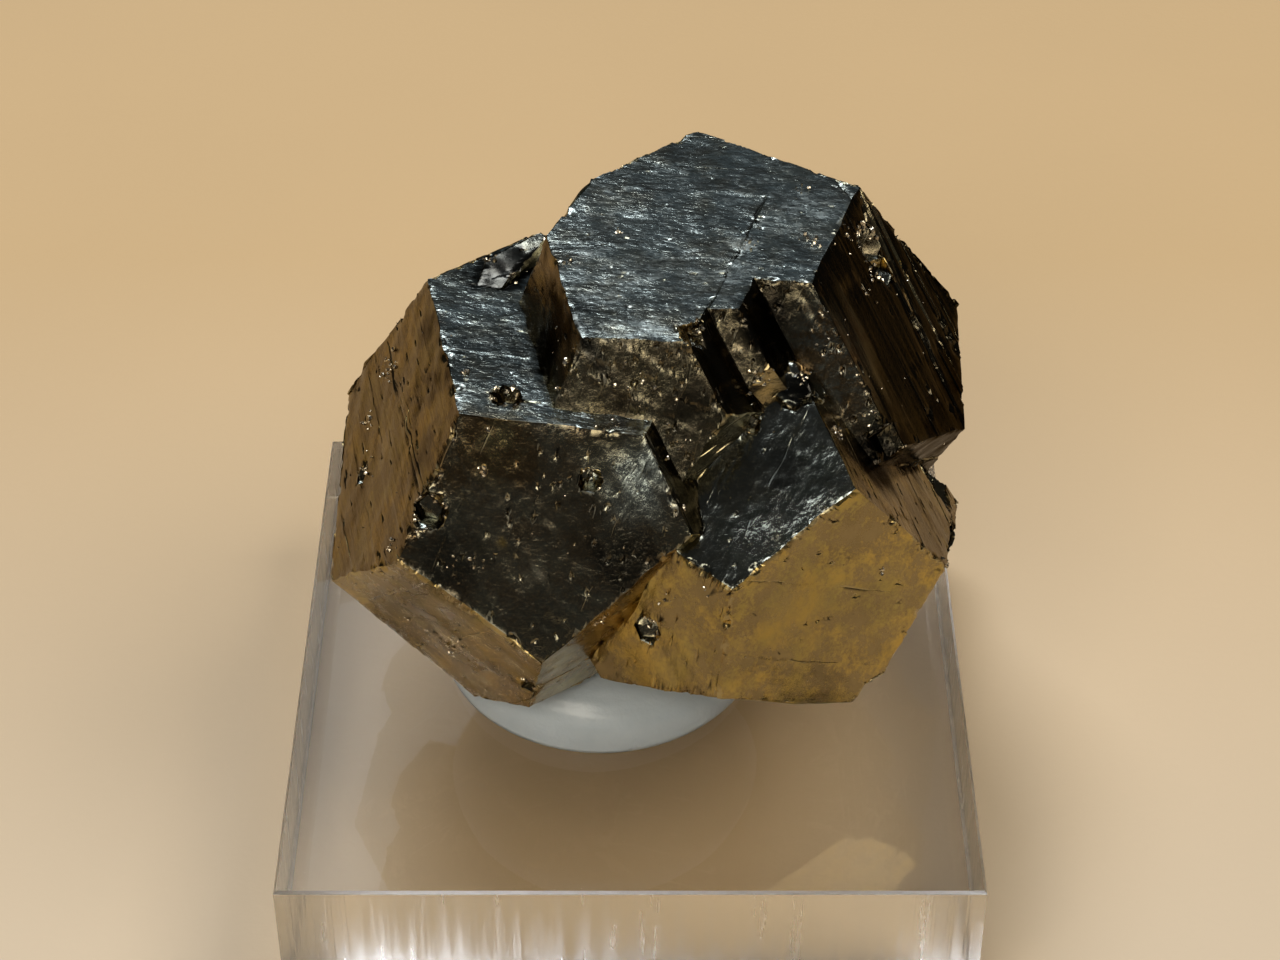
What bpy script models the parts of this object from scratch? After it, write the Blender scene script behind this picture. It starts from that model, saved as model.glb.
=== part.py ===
"""Pyrite cluster of three intergrown pyritohedral crystals, held by a pad of putty on a clear square block.

Lengths are in millimetres until each mesh is written in metres. The origin is the centre of the block's
underside, +X is to the right of the front view, +Y runs away from it and +Z is up.
"""

import math
import random

import bmesh
import bpy
from mathutils import Euler, Vector

MM = 0.001
GAP = 0.3

# Clear block.
BLOCK_SIDE = 50.8
BLOCK_HEIGHT = 12.7
BLOCK_EDGE = 0.35

# Putty pad.
PAD_CENTRE = (-2.1, 0.6)
PAD_RADIUS = 12.2
PAD_MEAN_HEIGHT = 4.0
PAD_TILT = 0.11
PAD_LIFT_DIRECTION = 215.0
PAD_SHOULDER = 4.2
PAD_ROUNDING = 1.9
PAD_WAVES = [(2, 0.22, 0.7), (3, 0.16, -0.4)]
PAD_RINGS = 12
PAD_SPOKES = 72
PAD_CREASE = 35.0

# Faces of the pyritohedron {210}, by their indices. The names are those of the front view.
FRONT = (2, 1, 0)
LOWER_LEFT = (2, -1, 0)
TOP = (0, 2, 1)
RIGHT = (0, 2, -1)
LEFT = (1, 0, 2)
LOWER_RIGHT = (1, 0, -2)
BACK_LEFT = (-1, 0, 2)
BACK_RIGHT = (-1, 0, -2)
UNDER_LEFT = (0, -2, 1)
UNDER = (0, -2, -1)
BACK = (-2, 1, 0)
UNDER_BACK = (-2, -1, 0)

# Left crystal: centre, turn of its lattice in degrees, and distance of each face from the centre.
LEFT_CENTRE = (-6.6, -0.7, 30.2)
LEFT_TURN = (59.9, -4.3, -108.3)
LEFT_FACES = {
    FRONT: 13.75,
    LOWER_LEFT: 14.15,
    TOP: 12.3,
    RIGHT: 15.0,
    LEFT: 11.95,
    LOWER_RIGHT: 13.05,
    BACK_LEFT: 15.6,
    BACK_RIGHT: 13.5,
    UNDER_LEFT: 13.55,
    BACK: 14.7,
    UNDER_BACK: 13.5,
}
LEFT_UNDERSIDE = 15.5

# Upper crystal, which grew almost parallel to the left one.
UPPER_CENTRE = (4.8, 5.8, 29.5)
UPPER_TURN = (61.9, -2.9, -107.1)
UPPER_FACES = {
    FRONT: 18.7,
    LOWER_LEFT: 13.5,
    TOP: 17.1,
    RIGHT: 12.25,
    LEFT: 17.15,
    LOWER_RIGHT: 13.0,
    BACK_LEFT: 17.5,
    BACK_RIGHT: 17.25,
    UNDER_LEFT: 16.6,
    UNDER: 16.4,
    BACK: 18.95,
    UNDER_BACK: 16.9,
}
UPPER_UNDERSIDE = 15.8

# The upper crystal comes down to the right in steps. Each has its own front and right face.
STEP_INSET = 0.07
MIDDLE_STEP = {FRONT: 14.55, RIGHT: 13.95}
LOW_STEP = {FRONT: 10.65, RIGHT: 16.95, LOWER_RIGHT: 11.2, BACK: 18.7}
FOOT_STEP = {FRONT: 9.4, RIGHT: 16.9}
SHELF_STEP = {FRONT: 10.5, RIGHT: 15.75}
HEEL_STEP = {FRONT: 8.9, RIGHT: 16.2}

# Lower crystal, turned about 38 degrees from the other two.
LOWER_CENTRE = (8.4, -3.0, 27.1)
LOWER_TURN = (77.1, -37.8, -121.1)
LOWER_FACES = {
    FRONT: 12.3,
    LOWER_LEFT: 13.15,
    TOP: 12.5,
    RIGHT: 11.85,
    LEFT: 12.5,
    LOWER_RIGHT: 12.0,
    BACK_LEFT: 12.4,
    BACK_RIGHT: 13.6,
    UNDER_LEFT: 12.5,
    UNDER: 11.55,
    BACK: 12.4,
    UNDER_BACK: 11.0,
}
LOWER_UNDERSIDE = 16.1

# The lower crystal's right end is ledged. For each ledge: how far its end face is set back, the height
# it stops at, its inset and where it ends on the left.
LOWER_LEDGES = [
    ("lower", 0.95, None, 0.0, 5.3),
    ("lower_end", 0.35, 21.3, 0.04, 5.2),
    ("lower_rim", 0.0, 22.9, 0.08, 5.1),
]
LEDGE_FLOOR = ((0.30, 0.15, -1.0), (18.0, -12.0))
LEFT_END = (-1.0, 0.25, 0.0)
RECESS = 0.45
RECESS_SETBACK = 1.6
RECESS_INSET = 0.12

# A block on the lower crystal's right that reaches further back and to the right.
SIDE_BLOCK = {TOP: 13.6, BACK_RIGHT: 15.35, BACK: 15.6, FRONT: 12.15, RIGHT: 11.75}
SIDE_TRIMS = [((0.83, -0.465, -0.30), 15.0), ((0.55, -0.30, -0.78), 9.3), ((0.35, 0.1, 0.93), 4.55)]
SIDE_INSET = 0.16

# A low block with a steeper roof at the back of the left crystal's top face.
WEDGE_INSET = 0.05
WEDGE_FACES = [
    ((0.03, -0.15, 0.988), 10.9),
    ((-0.535, 0.655, 0.534), 15.8),
    ((-0.964, 0.136, 0.227), 8.3),
    ((0.612, -0.453, 0.648), 2.8),
    ((0.0, 0.0, -1.0), -6.0),
]

# Oblique faces that trim one crystal each: direction in the part's axes and distance from its centre.
LEFT_TRIMS = [((-0.68, -0.24, -0.69), 14.95), ((0.20, -0.41, -0.89), 14.8)]
UPPER_TRIMS = [((-0.89, 0.38, 0.24), 14.35)]
TALL_STEP_TRIM = ((0.69, -0.685, -0.23), 8.35)
MIDDLE_STEP_TRIM = ((0.27, -0.94, 0.21), 13.4)
FOOT_STEP_TRIM = ((0.83, -0.50, -0.23), 17.35)
SHELF_STEP_TRIM = ((0.73, -0.53, -0.43), 15.35)
HEEL_STEP_TRIM = ((0.42, -0.68, -0.60), 12.0)

# Thin growth layers: thickness above the face, and the slab across the crystal that each one covers.
LAYER_ROOT = 2.5
LAYER_INSET = 0.03
LAYER_SLOPE = 0.2
LEFT_FACE_LAYERS = [(0.22, TOP, 6.1, 8.4), (0.16, TOP, 2.9, 5.0), (0.25, TOP, -1.6, 1.3), (0.14, TOP, 9.6, 10.8)]
LEFT_TOP_LAYERS = [(0.14, FRONT, 2.2, 5.1), (0.20, FRONT, 6.4, 8.2), (0.12, FRONT, 10.0, 11.6)]
UPPER_TOP_LAYERS = [
    (0.16, FRONT, -3.6, -1.2),
    (0.24, FRONT, 0.6, 2.9),
    (0.15, FRONT, 5.0, 7.6),
    (0.22, FRONT, 9.2, 10.9),
    (0.13, FRONT, 13.2, 15.4),
]
UPPER_RIGHT_LAYERS = [
    (0.34, FRONT, 4.3, 6.1),
    (0.22, FRONT, 1.2, 2.7),
    (0.40, FRONT, -2.3, 0.1),
    (0.20, FRONT, -5.0, -3.8),
]
LOWER_RIGHT_LAYERS = [(0.22, FRONT, 5.0, 7.3), (0.30, FRONT, -1.5, 1.8)]

# Growth layers on the faces behind, at uneven spacing: face, the face that they run along, first and
# last distance, greatest thickness and seed.
BAND_WIDTH = (0.9, 2.8)
BAND_SPACE = (0.7, 2.4)
LEFT_BACK_BANDS = [(BACK_LEFT, TOP, -5.0, 9.0, 0.30, 11), (BACK, LEFT, -3.0, 9.0, 0.24, 12)]
UPPER_BACK_BANDS = [(BACK_LEFT, TOP, -6.0, 14.0, 0.32, 21), (BACK, LEFT, -9.0, 11.0, 0.30, 22)]

# Pits: place, half width and the crystal whose faces line them.
PITS = [
    ("left_hollow", (-14.0, -12.2, 37.0), 1.15, LEFT_TURN),
    ("left_triangle", (-2.7, -11.7, 39.5), 0.75, LEFT_TURN),
    ("left_top_pit", (-8.6, -6.7, 43.0), 1.0, LEFT_TURN),
    ("left_low_pit", (-7.5, -14.9, 22.9), 0.8, LOWER_TURN),
    ("left_side_pit", (-19.6, -1.5, 31.4), 0.6, LEFT_TURN),
    ("seam_pit", (1.1, -14.1, 27.9), 1.0, LEFT_TURN),
    ("upper_pit", (17.7, 11.0, 43.3), 1.4, UPPER_TURN),
    ("upper_pit_low", (18.6, 10.0, 41.6), 1.0, LOWER_TURN),
    ("corner_notch", (4.9, -5.0, 47.5), 1.25, LOWER_TURN),
    ("lower_ring", (8.6, -5.8, 39.7), 0.55, LEFT_TURN),
]

# Small crystals that stand out of the large ones: place, half width and turn.
SMALL_CRYSTALS = [
    ("peak", (11.6, -3.0, 39.7), 2.0, (74.0, -30.0, -118.0)),
    ("back_block", (14.5, 16.2, 27.0), 7.2, (58.0, 2.0, -101.0)),
    ("back_left_block", (-15.2, 9.3, 26.2), 4.6, (74.0, -16.0, -118.0)),
    ("under_block", (16.0, 6.0, 22.4), 5.6, (70.0, -12.0, -110.0)),
]


def clear_scene():
    """Remove every object of the scene."""
    for thing in list(bpy.data.objects):
        bpy.data.objects.remove(thing, do_unlink=True)


def make_material(name, colour, metallic, roughness, transmission=0.0, ior=1.45):
    """A Principled material with one colour."""
    material = bpy.data.materials.new(name)
    material.use_nodes = True
    shader = material.node_tree.nodes["Principled BSDF"]
    shader.inputs["Base Color"].default_value = (*colour, 1.0)
    shader.inputs["Metallic"].default_value = metallic
    shader.inputs["Roughness"].default_value = roughness
    shader.inputs["Transmission Weight"].default_value = transmission
    shader.inputs["IOR"].default_value = ior
    material.diffuse_color = (*colour, 1.0)
    return material


def pyrite_material():
    """Brassy sulphide with a bright metallic lustre."""
    return make_material("pyrite", (0.46, 0.36, 0.19), 1.0, 0.32)


def putty_material():
    """White putty with a faint blue cast."""
    return make_material("mineral_putty", (0.78, 0.83, 0.86), 0.0, 0.55)


def acrylic_material():
    """Clear cast acrylic."""
    return make_material("clear_acrylic", (0.97, 0.98, 0.98), 0.0, 0.03, transmission=1.0, ior=1.49)


def lattice_rotation(turn):
    """Rotation of a crystal whose turn is given in degrees about X, then Y, then Z."""
    return Euler([math.radians(angle) for angle in turn], "XYZ").to_matrix()


def face_direction(turn, index):
    """Outward direction of the face with these indices."""
    return (lattice_rotation(turn) @ Vector(index)).normalized()


def face_plane(centre, turn, index, distance):
    """The plane of one face as its outward direction and a point on it."""
    direction = face_direction(turn, index)
    return direction, Vector(centre) + direction * distance


def trim_plane(centre, trim, inset=0.0):
    """The plane of an oblique face as its outward direction and a point on it."""
    direction = Vector(trim[0]).normalized()
    return direction, Vector(centre) + direction * (trim[1] - inset)


def underside_plane(height):
    """The level plane that closes a crystal below."""
    return Vector((0.0, 0.0, -1.0)), Vector((0.0, 0.0, height))


def crystal_planes(centre, turn, faces, trims, underside, inset=0.0):
    """All the planes that bound one crystal, each moved inward by the inset."""
    planes = [face_plane(centre, turn, index, distance - inset) for index, distance in faces.items()]
    planes += [trim_plane(centre, trim, inset) for trim in trims]
    planes.append(underside_plane(underside + inset))
    return planes


def convex_object(name, planes, reach=60.0):
    """A closed solid: what is left of a large cube once each plane has cut away its outer side."""
    shape = bmesh.new()
    bmesh.ops.create_cube(shape, size=2 * reach)
    bmesh.ops.translate(shape, verts=shape.verts, vec=(0.0, 0.0, 25.0))
    for direction, point in planes:
        everything = shape.verts[:] + shape.edges[:] + shape.faces[:]
        bmesh.ops.bisect_plane(
            shape, geom=everything, dist=1e-5, plane_co=point, plane_no=direction, clear_outer=True
        )
        rim = [edge for edge in shape.edges if edge.is_boundary]
        if rim:
            bmesh.ops.edgeloop_fill(shape, edges=rim)
    bmesh.ops.recalc_face_normals(shape, faces=shape.faces)
    return object_from(shape, name)


def object_from(shape, name):
    """Write a shape in millimetres to a mesh object in metres."""
    bmesh.ops.scale(shape, verts=shape.verts, vec=(MM, MM, MM))
    mesh = bpy.data.meshes.new(name)
    shape.to_mesh(mesh)
    shape.free()
    thing = bpy.data.objects.new(name, mesh)
    bpy.context.scene.collection.objects.link(thing)
    return thing


def combine(target, other, operation):
    """Apply a Boolean of the two closed solids to the target and remove the other one."""
    modifier = target.modifiers.new(operation.title(), "BOOLEAN")
    modifier.operation = operation
    modifier.solver = "EXACT"
    modifier.object = other
    bpy.context.view_layer.update()
    graph = bpy.context.evaluated_depsgraph_get()
    result = bpy.data.meshes.new_from_object(target.evaluated_get(graph))
    target.modifiers.clear()
    target.data = result
    bpy.data.objects.remove(other, do_unlink=True)


def layer_planes(planes_of, centre, turn, face, face_distance, layer):
    """A thin layer over one face: the crystal's planes, with that face raised and a slab across it."""
    thickness, across, low, high = layer
    faces, trims, underside = planes_of
    raised = dict(faces)
    raised[face] = face_distance + thickness
    inset = LAYER_INSET + thickness * LAYER_SLOPE
    planes = crystal_planes(centre, turn, raised, trims, underside, inset)
    direction, point = face_plane(centre, turn, across, high)
    planes.append((direction, point))
    direction, point = face_plane(centre, turn, across, low)
    planes.append((-direction, point))
    direction, point = face_plane(centre, turn, face, face_distance - LAYER_ROOT)
    planes.append((-direction, point))
    return planes


def add_layers(target, shape, centre, turn, face, face_distance, layers):
    """Fuse thin growth layers onto one face of a crystal."""
    for number, layer in enumerate(layers):
        planes = layer_planes(shape, centre, turn, face, face_distance, layer)
        combine(target, convex_object(f"layer_{number}", planes), "UNION")


def uneven_bands(along, first, last, thickest, seed):
    """Layers of uneven thickness and width, one after another between two distances."""
    chance = random.Random(seed)
    bands = []
    start = first
    while start < last:
        end = start + chance.uniform(*BAND_WIDTH)
        bands.append((chance.uniform(0.4, 1.0) * thickest, along, start, end))
        start = end + chance.uniform(*BAND_SPACE)
    return bands


def add_bands(target, shape, centre, turn, face_bands):
    """Fuse uneven growth layers onto the faces behind."""
    for face, along, first, last, thickest, seed in face_bands:
        layers = uneven_bands(along, first, last, thickest, seed)
        add_layers(target, shape, centre, turn, face, shape[0][face], layers)


def left_crystal():
    """The left crystal with its growth layers and the dark wedge at the back of its top face."""
    shape = (LEFT_FACES, LEFT_TRIMS, LEFT_UNDERSIDE)
    crystal = convex_object("left", crystal_planes(LEFT_CENTRE, LEFT_TURN, *shape))
    add_layers(crystal, shape, LEFT_CENTRE, LEFT_TURN, LEFT, LEFT_FACES[LEFT], LEFT_FACE_LAYERS)
    add_layers(crystal, shape, LEFT_CENTRE, LEFT_TURN, TOP, LEFT_FACES[TOP], LEFT_TOP_LAYERS)
    add_bands(crystal, shape, LEFT_CENTRE, LEFT_TURN, LEFT_BACK_BANDS)
    combine(crystal, left_wedge(), "UNION")
    return crystal


def left_wedge():
    """The low block with a steeper roof that grew at the back of the left crystal's top face."""
    kept = {index: distance for index, distance in LEFT_FACES.items() if index not in (TOP, BACK_LEFT)}
    faces = {index: distance - WEDGE_INSET for index, distance in kept.items()}
    return convex_object("wedge", crystal_planes(LEFT_CENTRE, LEFT_TURN, faces, WEDGE_FACES, LEFT_UNDERSIDE))


def upper_step(name, changes, trims, number):
    """One block of the upper crystal's stair, a little smaller all over than the block before it."""
    inset = STEP_INSET * number
    faces = dict(UPPER_FACES)
    faces.update({index: distance + inset for index, distance in changes.items()})
    shared = UPPER_TRIMS + [(direction, distance + inset) for direction, distance in trims]
    planes = crystal_planes(UPPER_CENTRE, UPPER_TURN, faces, shared, UPPER_UNDERSIDE, inset)
    return convex_object(name, planes)


def upper_crystal():
    """The upper crystal: a tall block, its stair to the right, and growth layers on top and right."""
    crystal = upper_step("upper", {}, [TALL_STEP_TRIM], 0)
    combine(crystal, upper_step("middle", MIDDLE_STEP, [MIDDLE_STEP_TRIM], 1), "UNION")
    combine(crystal, upper_step("low", LOW_STEP, [], 2), "UNION")
    combine(crystal, upper_step("foot", FOOT_STEP, [FOOT_STEP_TRIM], 3), "UNION")
    combine(crystal, upper_step("shelf", SHELF_STEP, [SHELF_STEP_TRIM], 4), "UNION")
    combine(crystal, upper_step("heel", HEEL_STEP, [HEEL_STEP_TRIM], 5), "UNION")
    top = (UPPER_FACES, UPPER_TRIMS, UPPER_UNDERSIDE)
    add_layers(crystal, top, UPPER_CENTRE, UPPER_TURN, TOP, UPPER_FACES[TOP], UPPER_TOP_LAYERS)
    add_bands(crystal, top, UPPER_CENTRE, UPPER_TURN, UPPER_BACK_BANDS)
    side_faces = dict(UPPER_FACES)
    side_faces.update(LOW_STEP)
    side = (side_faces, UPPER_TRIMS, UPPER_UNDERSIDE)
    add_layers(crystal, side, UPPER_CENTRE, UPPER_TURN, RIGHT, LOW_STEP[RIGHT], UPPER_RIGHT_LAYERS)
    return crystal


def lower_faces(inset, changes):
    """Face distances of a block of the lower crystal: all moved inward, then some set anew."""
    faces = {index: distance - inset for index, distance in LOWER_FACES.items()}
    faces.update(changes)
    return faces


def lower_ledge(name, setback, height, inset, left_limit):
    """The lower crystal with its right end set back, cut off below a height and at the left."""
    faces = lower_faces(inset, {BACK_RIGHT: LOWER_FACES[BACK_RIGHT] - setback})
    trims = [(LEFT_END, left_limit)]
    planes = crystal_planes(LOWER_CENTRE, LOWER_TURN, faces, trims, LOWER_UNDERSIDE + inset)
    if height is not None:
        slope, spot = LEDGE_FLOOR
        planes.append((Vector(slope).normalized(), Vector((*spot, height))))
    return convex_object(name, planes)


def lower_side():
    """The block on the lower crystal's right."""
    faces = lower_faces(SIDE_INSET, SIDE_BLOCK)
    underside = LOWER_UNDERSIDE + SIDE_INSET
    return convex_object("lower_side", crystal_planes(LOWER_CENTRE, LOWER_TURN, faces, SIDE_TRIMS, underside))


def lower_recess():
    """The block at the lower crystal's left, whose face lies a little deeper."""
    changes = {
        LOWER_LEFT: LOWER_FACES[LOWER_LEFT] - RECESS,
        BACK_RIGHT: LOWER_FACES[BACK_RIGHT] - RECESS_SETBACK,
    }
    faces = lower_faces(RECESS_INSET, changes)
    underside = LOWER_UNDERSIDE + RECESS_INSET
    return convex_object("lower_left", crystal_planes(LOWER_CENTRE, LOWER_TURN, faces, [], underside))


def lower_crystal():
    """The lower crystal: a core, its ledged right end, the block beside it and the recess at its left."""
    core, *ledges = LOWER_LEDGES
    crystal = lower_ledge(*core)
    for ledge in ledges:
        combine(crystal, lower_ledge(*ledge), "UNION")
    combine(crystal, lower_side(), "UNION")
    combine(crystal, lower_recess(), "UNION")
    shape = (LOWER_FACES, [], LOWER_UNDERSIDE)
    add_layers(crystal, shape, LOWER_CENTRE, LOWER_TURN, RIGHT, LOWER_FACES[RIGHT], LOWER_RIGHT_LAYERS)
    return crystal


def pyritohedron(name, place, half_width, turn):
    """A small whole pyritohedron."""
    return convex_object(name, [face_plane(place, turn, index, half_width) for index in all_faces()])


def all_faces():
    """The indices of the twelve faces."""
    return list(UPPER_FACES)


def make_cluster():
    """The three crystals and the small ones fused into one solid, with its pits."""
    cluster = left_crystal()
    combine(cluster, upper_crystal(), "UNION")
    combine(cluster, lower_crystal(), "UNION")
    for small in SMALL_CRYSTALS:
        combine(cluster, pyritohedron(*small), "UNION")
    for pit in PITS:
        combine(cluster, pyritohedron(*pit), "DIFFERENCE")
    cluster.name = "pyrite_cluster"
    cluster.data.materials.clear()
    cluster.data.materials.append(pyrite_material())
    return cluster


def pad_height(radius, angle):
    """Height of the pad's surface: flat in the middle, round at the shoulder, higher at the front left."""
    across = min(radius / pad_reach(angle), 1.0)
    lift = math.cos(angle - math.radians(PAD_LIFT_DIRECTION)) * radius * PAD_TILT
    return (PAD_MEAN_HEIGHT + lift) * (1.0 - across**PAD_SHOULDER) ** (1.0 / PAD_ROUNDING)


def pad_reach(angle):
    """Radius of the pad's edge, which is slightly uneven."""
    return PAD_RADIUS + sum(swell * math.sin(count * angle + shift) for count, swell, shift in PAD_WAVES)


def pad_dome():
    """The pad before the crystals are pressed into it."""
    shape = bmesh.new()
    base = BLOCK_HEIGHT + GAP
    rings = []
    for ring in range(1, PAD_RINGS + 1):
        share = math.sin(0.5 * math.pi * ring / PAD_RINGS)
        row = []
        for spoke in range(PAD_SPOKES):
            angle = 2 * math.pi * spoke / PAD_SPOKES
            radius = pad_reach(angle) * share
            height = pad_height(radius, angle)
            x = PAD_CENTRE[0] + radius * math.cos(angle)
            y = PAD_CENTRE[1] + radius * math.sin(angle)
            row.append(shape.verts.new((x, y, base + max(height, 0.0))))
        rings.append(row)
    crown = shape.verts.new((*PAD_CENTRE, base + PAD_MEAN_HEIGHT))
    for spoke in range(PAD_SPOKES):
        after = (spoke + 1) % PAD_SPOKES
        shape.faces.new((crown, rings[0][spoke], rings[0][after]))
        for inner, outer in zip(rings, rings[1:]):
            shape.faces.new((inner[spoke], outer[spoke], outer[after], inner[after]))
    shape.faces.new(list(reversed(rings[-1])))
    bmesh.ops.recalc_face_normals(shape, faces=shape.faces)
    return object_from(shape, "mineral_putty")


def make_pad():
    """The putty pad with the print of the crystals, a narrow gap clear of them."""
    pad = pad_dome()
    bodies = [
        (LEFT_CENTRE, LEFT_TURN, LEFT_FACES, LEFT_TRIMS, LEFT_UNDERSIDE),
        (UPPER_CENTRE, UPPER_TURN, UPPER_FACES, UPPER_TRIMS, UPPER_UNDERSIDE),
        (LOWER_CENTRE, LOWER_TURN, LOWER_FACES, [], LOWER_UNDERSIDE),
    ]
    for number, body in enumerate(bodies):
        combine(pad, convex_object(f"print_{number}", crystal_planes(*body, inset=-GAP)), "DIFFERENCE")
    pad.data.materials.clear()
    pad.data.materials.append(putty_material())
    pad.data.shade_smooth()
    pad.data.set_sharp_from_angle(angle=math.radians(PAD_CREASE))
    return pad


def make_block():
    """The clear square block with narrow polished edges."""
    shape = bmesh.new()
    bmesh.ops.create_cube(shape, size=1.0)
    bmesh.ops.scale(shape, verts=shape.verts, vec=(BLOCK_SIDE, BLOCK_SIDE, BLOCK_HEIGHT))
    bmesh.ops.translate(shape, verts=shape.verts, vec=(0.0, 0.0, BLOCK_HEIGHT / 2))
    bmesh.ops.bevel(shape, geom=shape.edges[:], offset=BLOCK_EDGE, segments=1, affect="EDGES")
    block = object_from(shape, "acrylic_block")
    block.data.materials.append(acrylic_material())
    return block


def main():
    """Build the whole part."""
    clear_scene()
    root = bpy.data.objects.new("specimen", None)
    bpy.context.scene.collection.objects.link(root)
    for piece in (make_block(), make_pad(), make_cluster()):
        piece.parent = root


main()
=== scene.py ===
"""Looks of the mounted pyrite specimen: striated crystals, a putty pad and a clear block on a plain floor.

Lengths are millimetres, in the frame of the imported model, unless metres are named. Meshes are written in metres.
"""

import bisect
import logging
import math
import random
from collections import Counter
from collections.abc import Iterator, Sequence
from dataclasses import dataclass, field
from enum import Enum

import bmesh
import bpy
import numpy as np
from mathutils import Euler, Matrix, Vector, kdtree
from mathutils.bvhtree import BVHTree


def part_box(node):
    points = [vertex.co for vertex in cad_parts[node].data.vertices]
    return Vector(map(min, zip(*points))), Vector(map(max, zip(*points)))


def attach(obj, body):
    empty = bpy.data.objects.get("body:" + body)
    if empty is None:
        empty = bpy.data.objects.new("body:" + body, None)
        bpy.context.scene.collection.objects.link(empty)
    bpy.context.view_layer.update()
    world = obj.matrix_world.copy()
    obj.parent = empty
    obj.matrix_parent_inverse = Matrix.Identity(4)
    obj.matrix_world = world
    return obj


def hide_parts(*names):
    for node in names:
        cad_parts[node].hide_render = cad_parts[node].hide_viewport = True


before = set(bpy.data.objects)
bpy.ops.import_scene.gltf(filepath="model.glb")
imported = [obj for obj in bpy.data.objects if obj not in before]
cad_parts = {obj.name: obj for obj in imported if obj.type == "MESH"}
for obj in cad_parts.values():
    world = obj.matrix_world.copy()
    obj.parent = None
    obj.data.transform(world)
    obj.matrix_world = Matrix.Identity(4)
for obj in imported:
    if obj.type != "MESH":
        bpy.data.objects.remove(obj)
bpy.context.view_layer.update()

LOG = logging.getLogger("pyrite_specimen")
MM = 0.001
WELD = 0.0005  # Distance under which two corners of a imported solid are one.
SCATTER = (374761393, 668265263, 2246822519, 1274126177)  # Large odd numbers that scatter neighbouring points.
SKEW = (0.7, -0.6)  # How far the third axis leans into the other two.

Colour = tuple[float, float, float, float]
Limits = tuple[float, float]  # Where a range starts and where it ends.
Pair = tuple[float, float]
Triple = tuple[float, float, float]
Mark = tuple[float, dict[int, int]]  # A share of an edge, with its station in each region.
Shape = bmesh.types.BMesh
Face = bmesh.types.BMFace
Layer = bmesh.types.BMLayerItem
Socket = bpy.types.NodeSocket
Object = bpy.types.Object


class Form(Enum):
    """The twelve faces of the pyritohedron, by their indices, named as the front view shows them."""

    FRONT = (2, 1, 0)
    LOWER_LEFT = (2, -1, 0)
    TOP = (0, 2, 1)
    RIGHT = (0, 2, -1)
    LEFT = (1, 0, 2)
    LOWER_RIGHT = (1, 0, -2)
    BACK_LEFT = (-1, 0, 2)
    BACK_RIGHT = (-1, 0, -2)
    UNDER_LEFT = (0, -2, 1)
    UNDER = (0, -2, -1)
    BACK = (-2, 1, 0)
    UNDER_BACK = (-2, -1, 0)

    def partner(self) -> "Form":
        """The face whose distance is constant along this face's striae.

        Returns:
            One of the three such faces.
        """
        first, _, third = self.value
        if third == 0:
            return Form.LEFT
        return Form.FRONT if first == 0 else Form.TOP


@dataclass(frozen=True)
class Relief:
    """How one kind of face departs from its plane.

    Attributes:
        rows: Least and greatest distance between two striae.
        column: Distance between points along a stria.
        ripple: Depth of the fine corrugation across the striae.
        ripple_width: Width of one corrugation.
        ripple_length: How far one corrugation runs.
        bands: Least and greatest width of the growth layers.
        depths: Depths that a stretch of a layer can have.
        stretch: Least and greatest length of a stretch of a layer.
        tilt: Greatest lean of a layer, in degrees.
        swell: Depth of the broad waves.
        pits: Number of pits in each square millimetre.
        pit_size: Least and greatest half width of a pit.
        pit_reach: Greatest length of a pit against its width.
        short_streaks: How much of the face takes short satin streaks.
        long_streaks: How much of the face takes long dark streaks.
        speckle: How much of the face takes satin specks.
        brown: How far the metal has browned.
        cool: How far the metal has turned grey.
        satin: How far the whole face is matted.
        dark: How far the metal is painted darker, a painted dark reflection.
    """

    rows: Limits = (0.2, 0.34)
    column: float = 0.6
    ripple: float = 0.022
    ripple_width: float = 0.22
    ripple_length: float = 1.8
    bands: Limits = (0.7, 2.4)
    depths: tuple[float, ...] = (0.0, 0.04, 0.08)
    stretch: Limits = (2.5, 10.0)
    tilt: float = 1.6
    swell: float = 0.05
    pits: float = 0.05
    pit_size: Limits = (0.1, 0.3)
    pit_reach: float = 2.5
    short_streaks: float = 0.4
    long_streaks: float = 0.4
    speckle: float = 0.35
    brown: float = 0.35
    cool: float = 0.35
    satin: float = 0.12
    # Painted dark reflection, from none (0) to full (1).
    dark: float = 0.0


# Each kind's dark value is painted dark reflection.
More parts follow.
